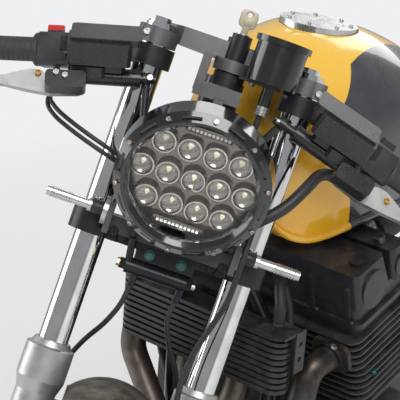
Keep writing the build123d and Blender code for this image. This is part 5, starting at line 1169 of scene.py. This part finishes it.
class RACER_OT_seat(bpy.types.Operator):
    """Stuff and upholster the seat"""

    bl_idname = "racer.seat"
    bl_label = "Seat"

    def execute(self, context):
        paint, _ = settings()
        source = NODES["seat"].data.copy()
        bm = bmesh.new()
        bm.from_mesh(source)
        bmesh.ops.remove_doubles(bm, verts=bm.verts, dist=1e-5)
        bmesh.ops.transform(bm, matrix=PARKED.inverted(), verts=bm.verts)
        lows = [min(v.co[k] for v in bm.verts) for k in range(3)]
        highs = [max(v.co[k] for v in bm.verts) for k in range(3)]
        middle = [(a + b) / 2 for a, b in zip(lows, highs)]
        for vert in bm.verts:
            vert.co.x = middle[0] + (vert.co.x - middle[0]) * 0.955
            vert.co.y = middle[1] + (vert.co.y - middle[1]) * 0.975
            vert.co.z = lows[2] + (vert.co.z - lows[2]) * 0.84
        bm.to_mesh(source)
        bm.free()
        pad = bpy.data.objects.new("seat_pad", source)
        context.scene.collection.objects.link(pad)
        remesh = pad.modifiers.new("voxels", "REMESH")
        remesh.mode = "VOXEL"
        remesh.voxel_size = 0.006
        graph = context.evaluated_depsgraph_get()
        pad.data = bpy.data.meshes.new_from_object(pad.evaluated_get(graph), depsgraph=graph)
        pad.modifiers.clear()
        start = [v.co.copy() for v in pad.data.vertices]
        cloth = pad.modifiers.new("stuffing", "CLOTH")
        cloth.settings.use_pressure = True
        cloth.settings.uniform_pressure_force = 4.0
        cloth.settings.effector_weights.gravity = 0.0
        cloth.settings.quality = 5
        cloth.collision_settings.use_collision = False
        for number in range(1, 21):
            context.scene.frame_set(number)
        graph = context.evaluated_depsgraph_get()
        swollen = bpy.data.meshes.new_from_object(pad.evaluated_get(graph), depsgraph=graph)
        pad.modifiers.clear()
        context.scene.frame_set(1)
        pad.data = swollen
        seams = [0.145 + 0.034 * k for k in range(11)]
        for vert, old in zip(pad.data.vertices, start):
            moved = vert.co - old
            if moved.length > PAD_REACH:
                vert.co = old + moved.normalized() * PAD_REACH
            vert.co.x = min(max(vert.co.x, lows[0] + 0.001), highs[0] - 0.001)
            vert.co.y = min(max(vert.co.y, lows[1] + 0.001), highs[1] - 0.001)
            vert.co.z = min(max(vert.co.z, lows[2] + 0.0004), highs[2] + 0.002)
            rise = (vert.co.z - lows[2]) / (highs[2] - lows[2])
            inside = PIPING - abs(vert.co.x)
            if rise > 0.45 and inside > 0:
                nearest = min(abs(vert.co.y - seam) for seam in seams)
                vert.co.z -= 0.0045 * math.exp(-((nearest / 0.0048) ** 2)) * min(1.0, inside / 0.008)
            if rise > 0.45:
                vert.co.z -= 0.004 * math.exp(-((inside / 0.005) ** 2))
        pad.data.transform(PARKED)
        leather, tree, shader = new_material("seat_leather")
        vector = coords(tree, PARKED)
        creases = node(
            tree, "ShaderNodeTexVoronoi", {"Vector": vector, "Scale": 480.0}, feature="DISTANCE_TO_EDGE"
        ).outputs["Distance"]
        tone = mixed(tree, noise(tree, vector, 14, 5), rgba(paint.seat, 0.7), rgba(paint.seat, 1.5))
        dusted(tree, shader, vector, tone, 0.15)
        rubbed = between(tree, noise(tree, vector, 45, 5), 0.3, 0.7, 0.4, 0.58)
        tree.links.new(rubbed, shader.inputs["Roughness"])
        bumped(tree, shader, between(tree, creases, 0.0, 0.25), 0.0003)
        pad.data.materials.clear()
        pad.data.materials.append(leather)
        rounded = pad.modifiers.new("rounding", "SUBSURF")
        rounded.levels = rounded.render_levels = 1
        graph = context.evaluated_depsgraph_get()
        final = bpy.data.meshes.new_from_object(pad.evaluated_get(graph), depsgraph=graph)
        bpy.data.objects.remove(pad)
        seat = new_piece("seat_cushion", smooth(final, 60), "chassis", "seat_leather")
        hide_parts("seat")
        return {"FINISHED"}


class RACER_OT_stage(bpy.types.Operator):
    """Build the plain floor, the soft studio light and the camera"""

    bl_idname = "racer.stage"
    bl_label = "Stage"

    def execute(self, context):
        bm = bmesh.new()
        bmesh.ops.create_grid(bm, x_segments=1, y_segments=1, size=40)
        floor = bpy.data.objects.new("floor", mesh_of(bm, "floor"))
        bpy.context.scene.collection.objects.link(floor)
        pale, tree, shader = new_material("floor_pale")
        vector = coords(tree)
        tree.links.new(
            mixed(tree, noise(tree, vector, 3, 4), rgba((0.8, 0.8, 0.79)), rgba((0.84, 0.84, 0.83))),
            shader.inputs["Base Color"],
        )
        shader.inputs["Roughness"].default_value = 0.9
        away = node(tree, "ShaderNodeVectorMath", {0: vector}, operation="LENGTH").outputs["Value"]
        seen = node(tree, "ShaderNodeLightPath").outputs["Is Camera Ray"]
        share = maths(tree, "MULTIPLY", between(tree, away, 1.2, 3.6), seen)
        glow = node(tree, "ShaderNodeEmission", {"Color": (0.86, 0.87, 0.88, 1), "Strength": 1.0})
        both = node(tree, "ShaderNodeMixShader", {0: share, 1: shader.outputs[0], 2: glow.outputs[0]})
        tree.links.new(both.outputs[0], tree.nodes["Material Output"].inputs["Surface"])
        floor.data.materials.append(pale)
        world = bpy.data.worlds.new("studio")
        world.use_nodes = True
        tree = world.node_tree
        soft = tree.nodes["Background"]
        soft.inputs["Color"].default_value = (0.94, 0.96, 1.0, 1)
        soft.inputs["Strength"].default_value = 0.36
        seen = node(tree, "ShaderNodeBackground", {"Color": (0.93, 0.94, 0.95, 1), "Strength": 0.95})
        rays = node(tree, "ShaderNodeLightPath")
        direct = maths(tree, "MAXIMUM", rays.outputs["Is Camera Ray"], rays.outputs["Is Transmission Ray"])
        share = node(tree, "ShaderNodeMixShader", {0: direct, 1: soft.outputs[0], 2: seen.outputs[0]})
        tree.links.new(share.outputs[0], tree.nodes["World Output"].inputs["Surface"])
        bpy.context.scene.world = world
        lamps = (
            ("key_light", (2.6, -2.2, 3.4), 2.4, 130.0),
            ("side_light", (-3.4, -2.4, 2.2), 2.6, 70.0),
            ("back_light", (-0.6, 3.4, 3.2), 3.0, 80.0),
        )
        for name, at, size, power in lamps:
            light = bpy.data.lights.new(name, "AREA")
            light.size = size
            light.energy = power
            lamp = bpy.data.objects.new(name, light)
            lamp.location = at
            lamp.rotation_euler = (Vector((0, -0.4, 0.6)) - Vector(at)).to_track_quat("-Z", "Y").to_euler()
            bpy.context.scene.collection.objects.link(lamp)
        view = bpy.data.cameras.new("photo_camera")
        view.sensor_width = 36
        view.lens = 163.0
        camera = bpy.data.objects.new("photo_camera", view)
        camera.location = (1.54269, -2.26122, 1.39779)
        camera.rotation_euler = tuple(math.radians(a) for a in (74.8533, 4.7282, 39.0387))
        bpy.context.scene.collection.objects.link(camera)
        bpy.context.scene.camera = camera
        bpy.context.scene.view_settings.view_transform = "Standard"
        return {"FINISHED"}


class RACER_PT_panel(bpy.types.Panel):
    bl_label = "Cafe Racer"
    bl_idname = "RACER_PT_panel"
    bl_space_type = "VIEW_3D"
    bl_region_type = "UI"
    bl_category = "Cafe Racer"

    def draw(self, context):
        for group in (context.scene.racer_paint, context.scene.racer_detail):
            for name in group.__annotations__:
                self.layout.prop(group, name)
        for operator in OPERATORS:
            self.layout.operator(operator.bl_idname)


OPERATORS = (
    RACER_OT_stage,
    RACER_OT_bodywork,
    RACER_OT_fork,
    RACER_OT_headlight,
    RACER_OT_stalks,
    RACER_OT_controls,
    RACER_OT_engine,
    RACER_OT_driveline,
    RACER_OT_tyres,
    RACER_OT_seat,
)
CLASSES = (RacerPaint, RacerDetail, *OPERATORS, RACER_PT_panel)


def register():
    for item in CLASSES:
        bpy.utils.register_class(item)
    bpy.types.Scene.racer_paint = PointerProperty(type=RacerPaint)
    bpy.types.Scene.racer_detail = PointerProperty(type=RacerDetail)


def unregister():
    del bpy.types.Scene.racer_detail
    del bpy.types.Scene.racer_paint
    for item in reversed(CLASSES):
        bpy.utils.unregister_class(item)


def main():
    """Finishes the whole bike."""
    register()
    for operator in OPERATORS:
        family, name = operator.bl_idname.split(".")
        getattr(getattr(bpy.ops, family), name)()


if __name__ == "__main__":
    main()
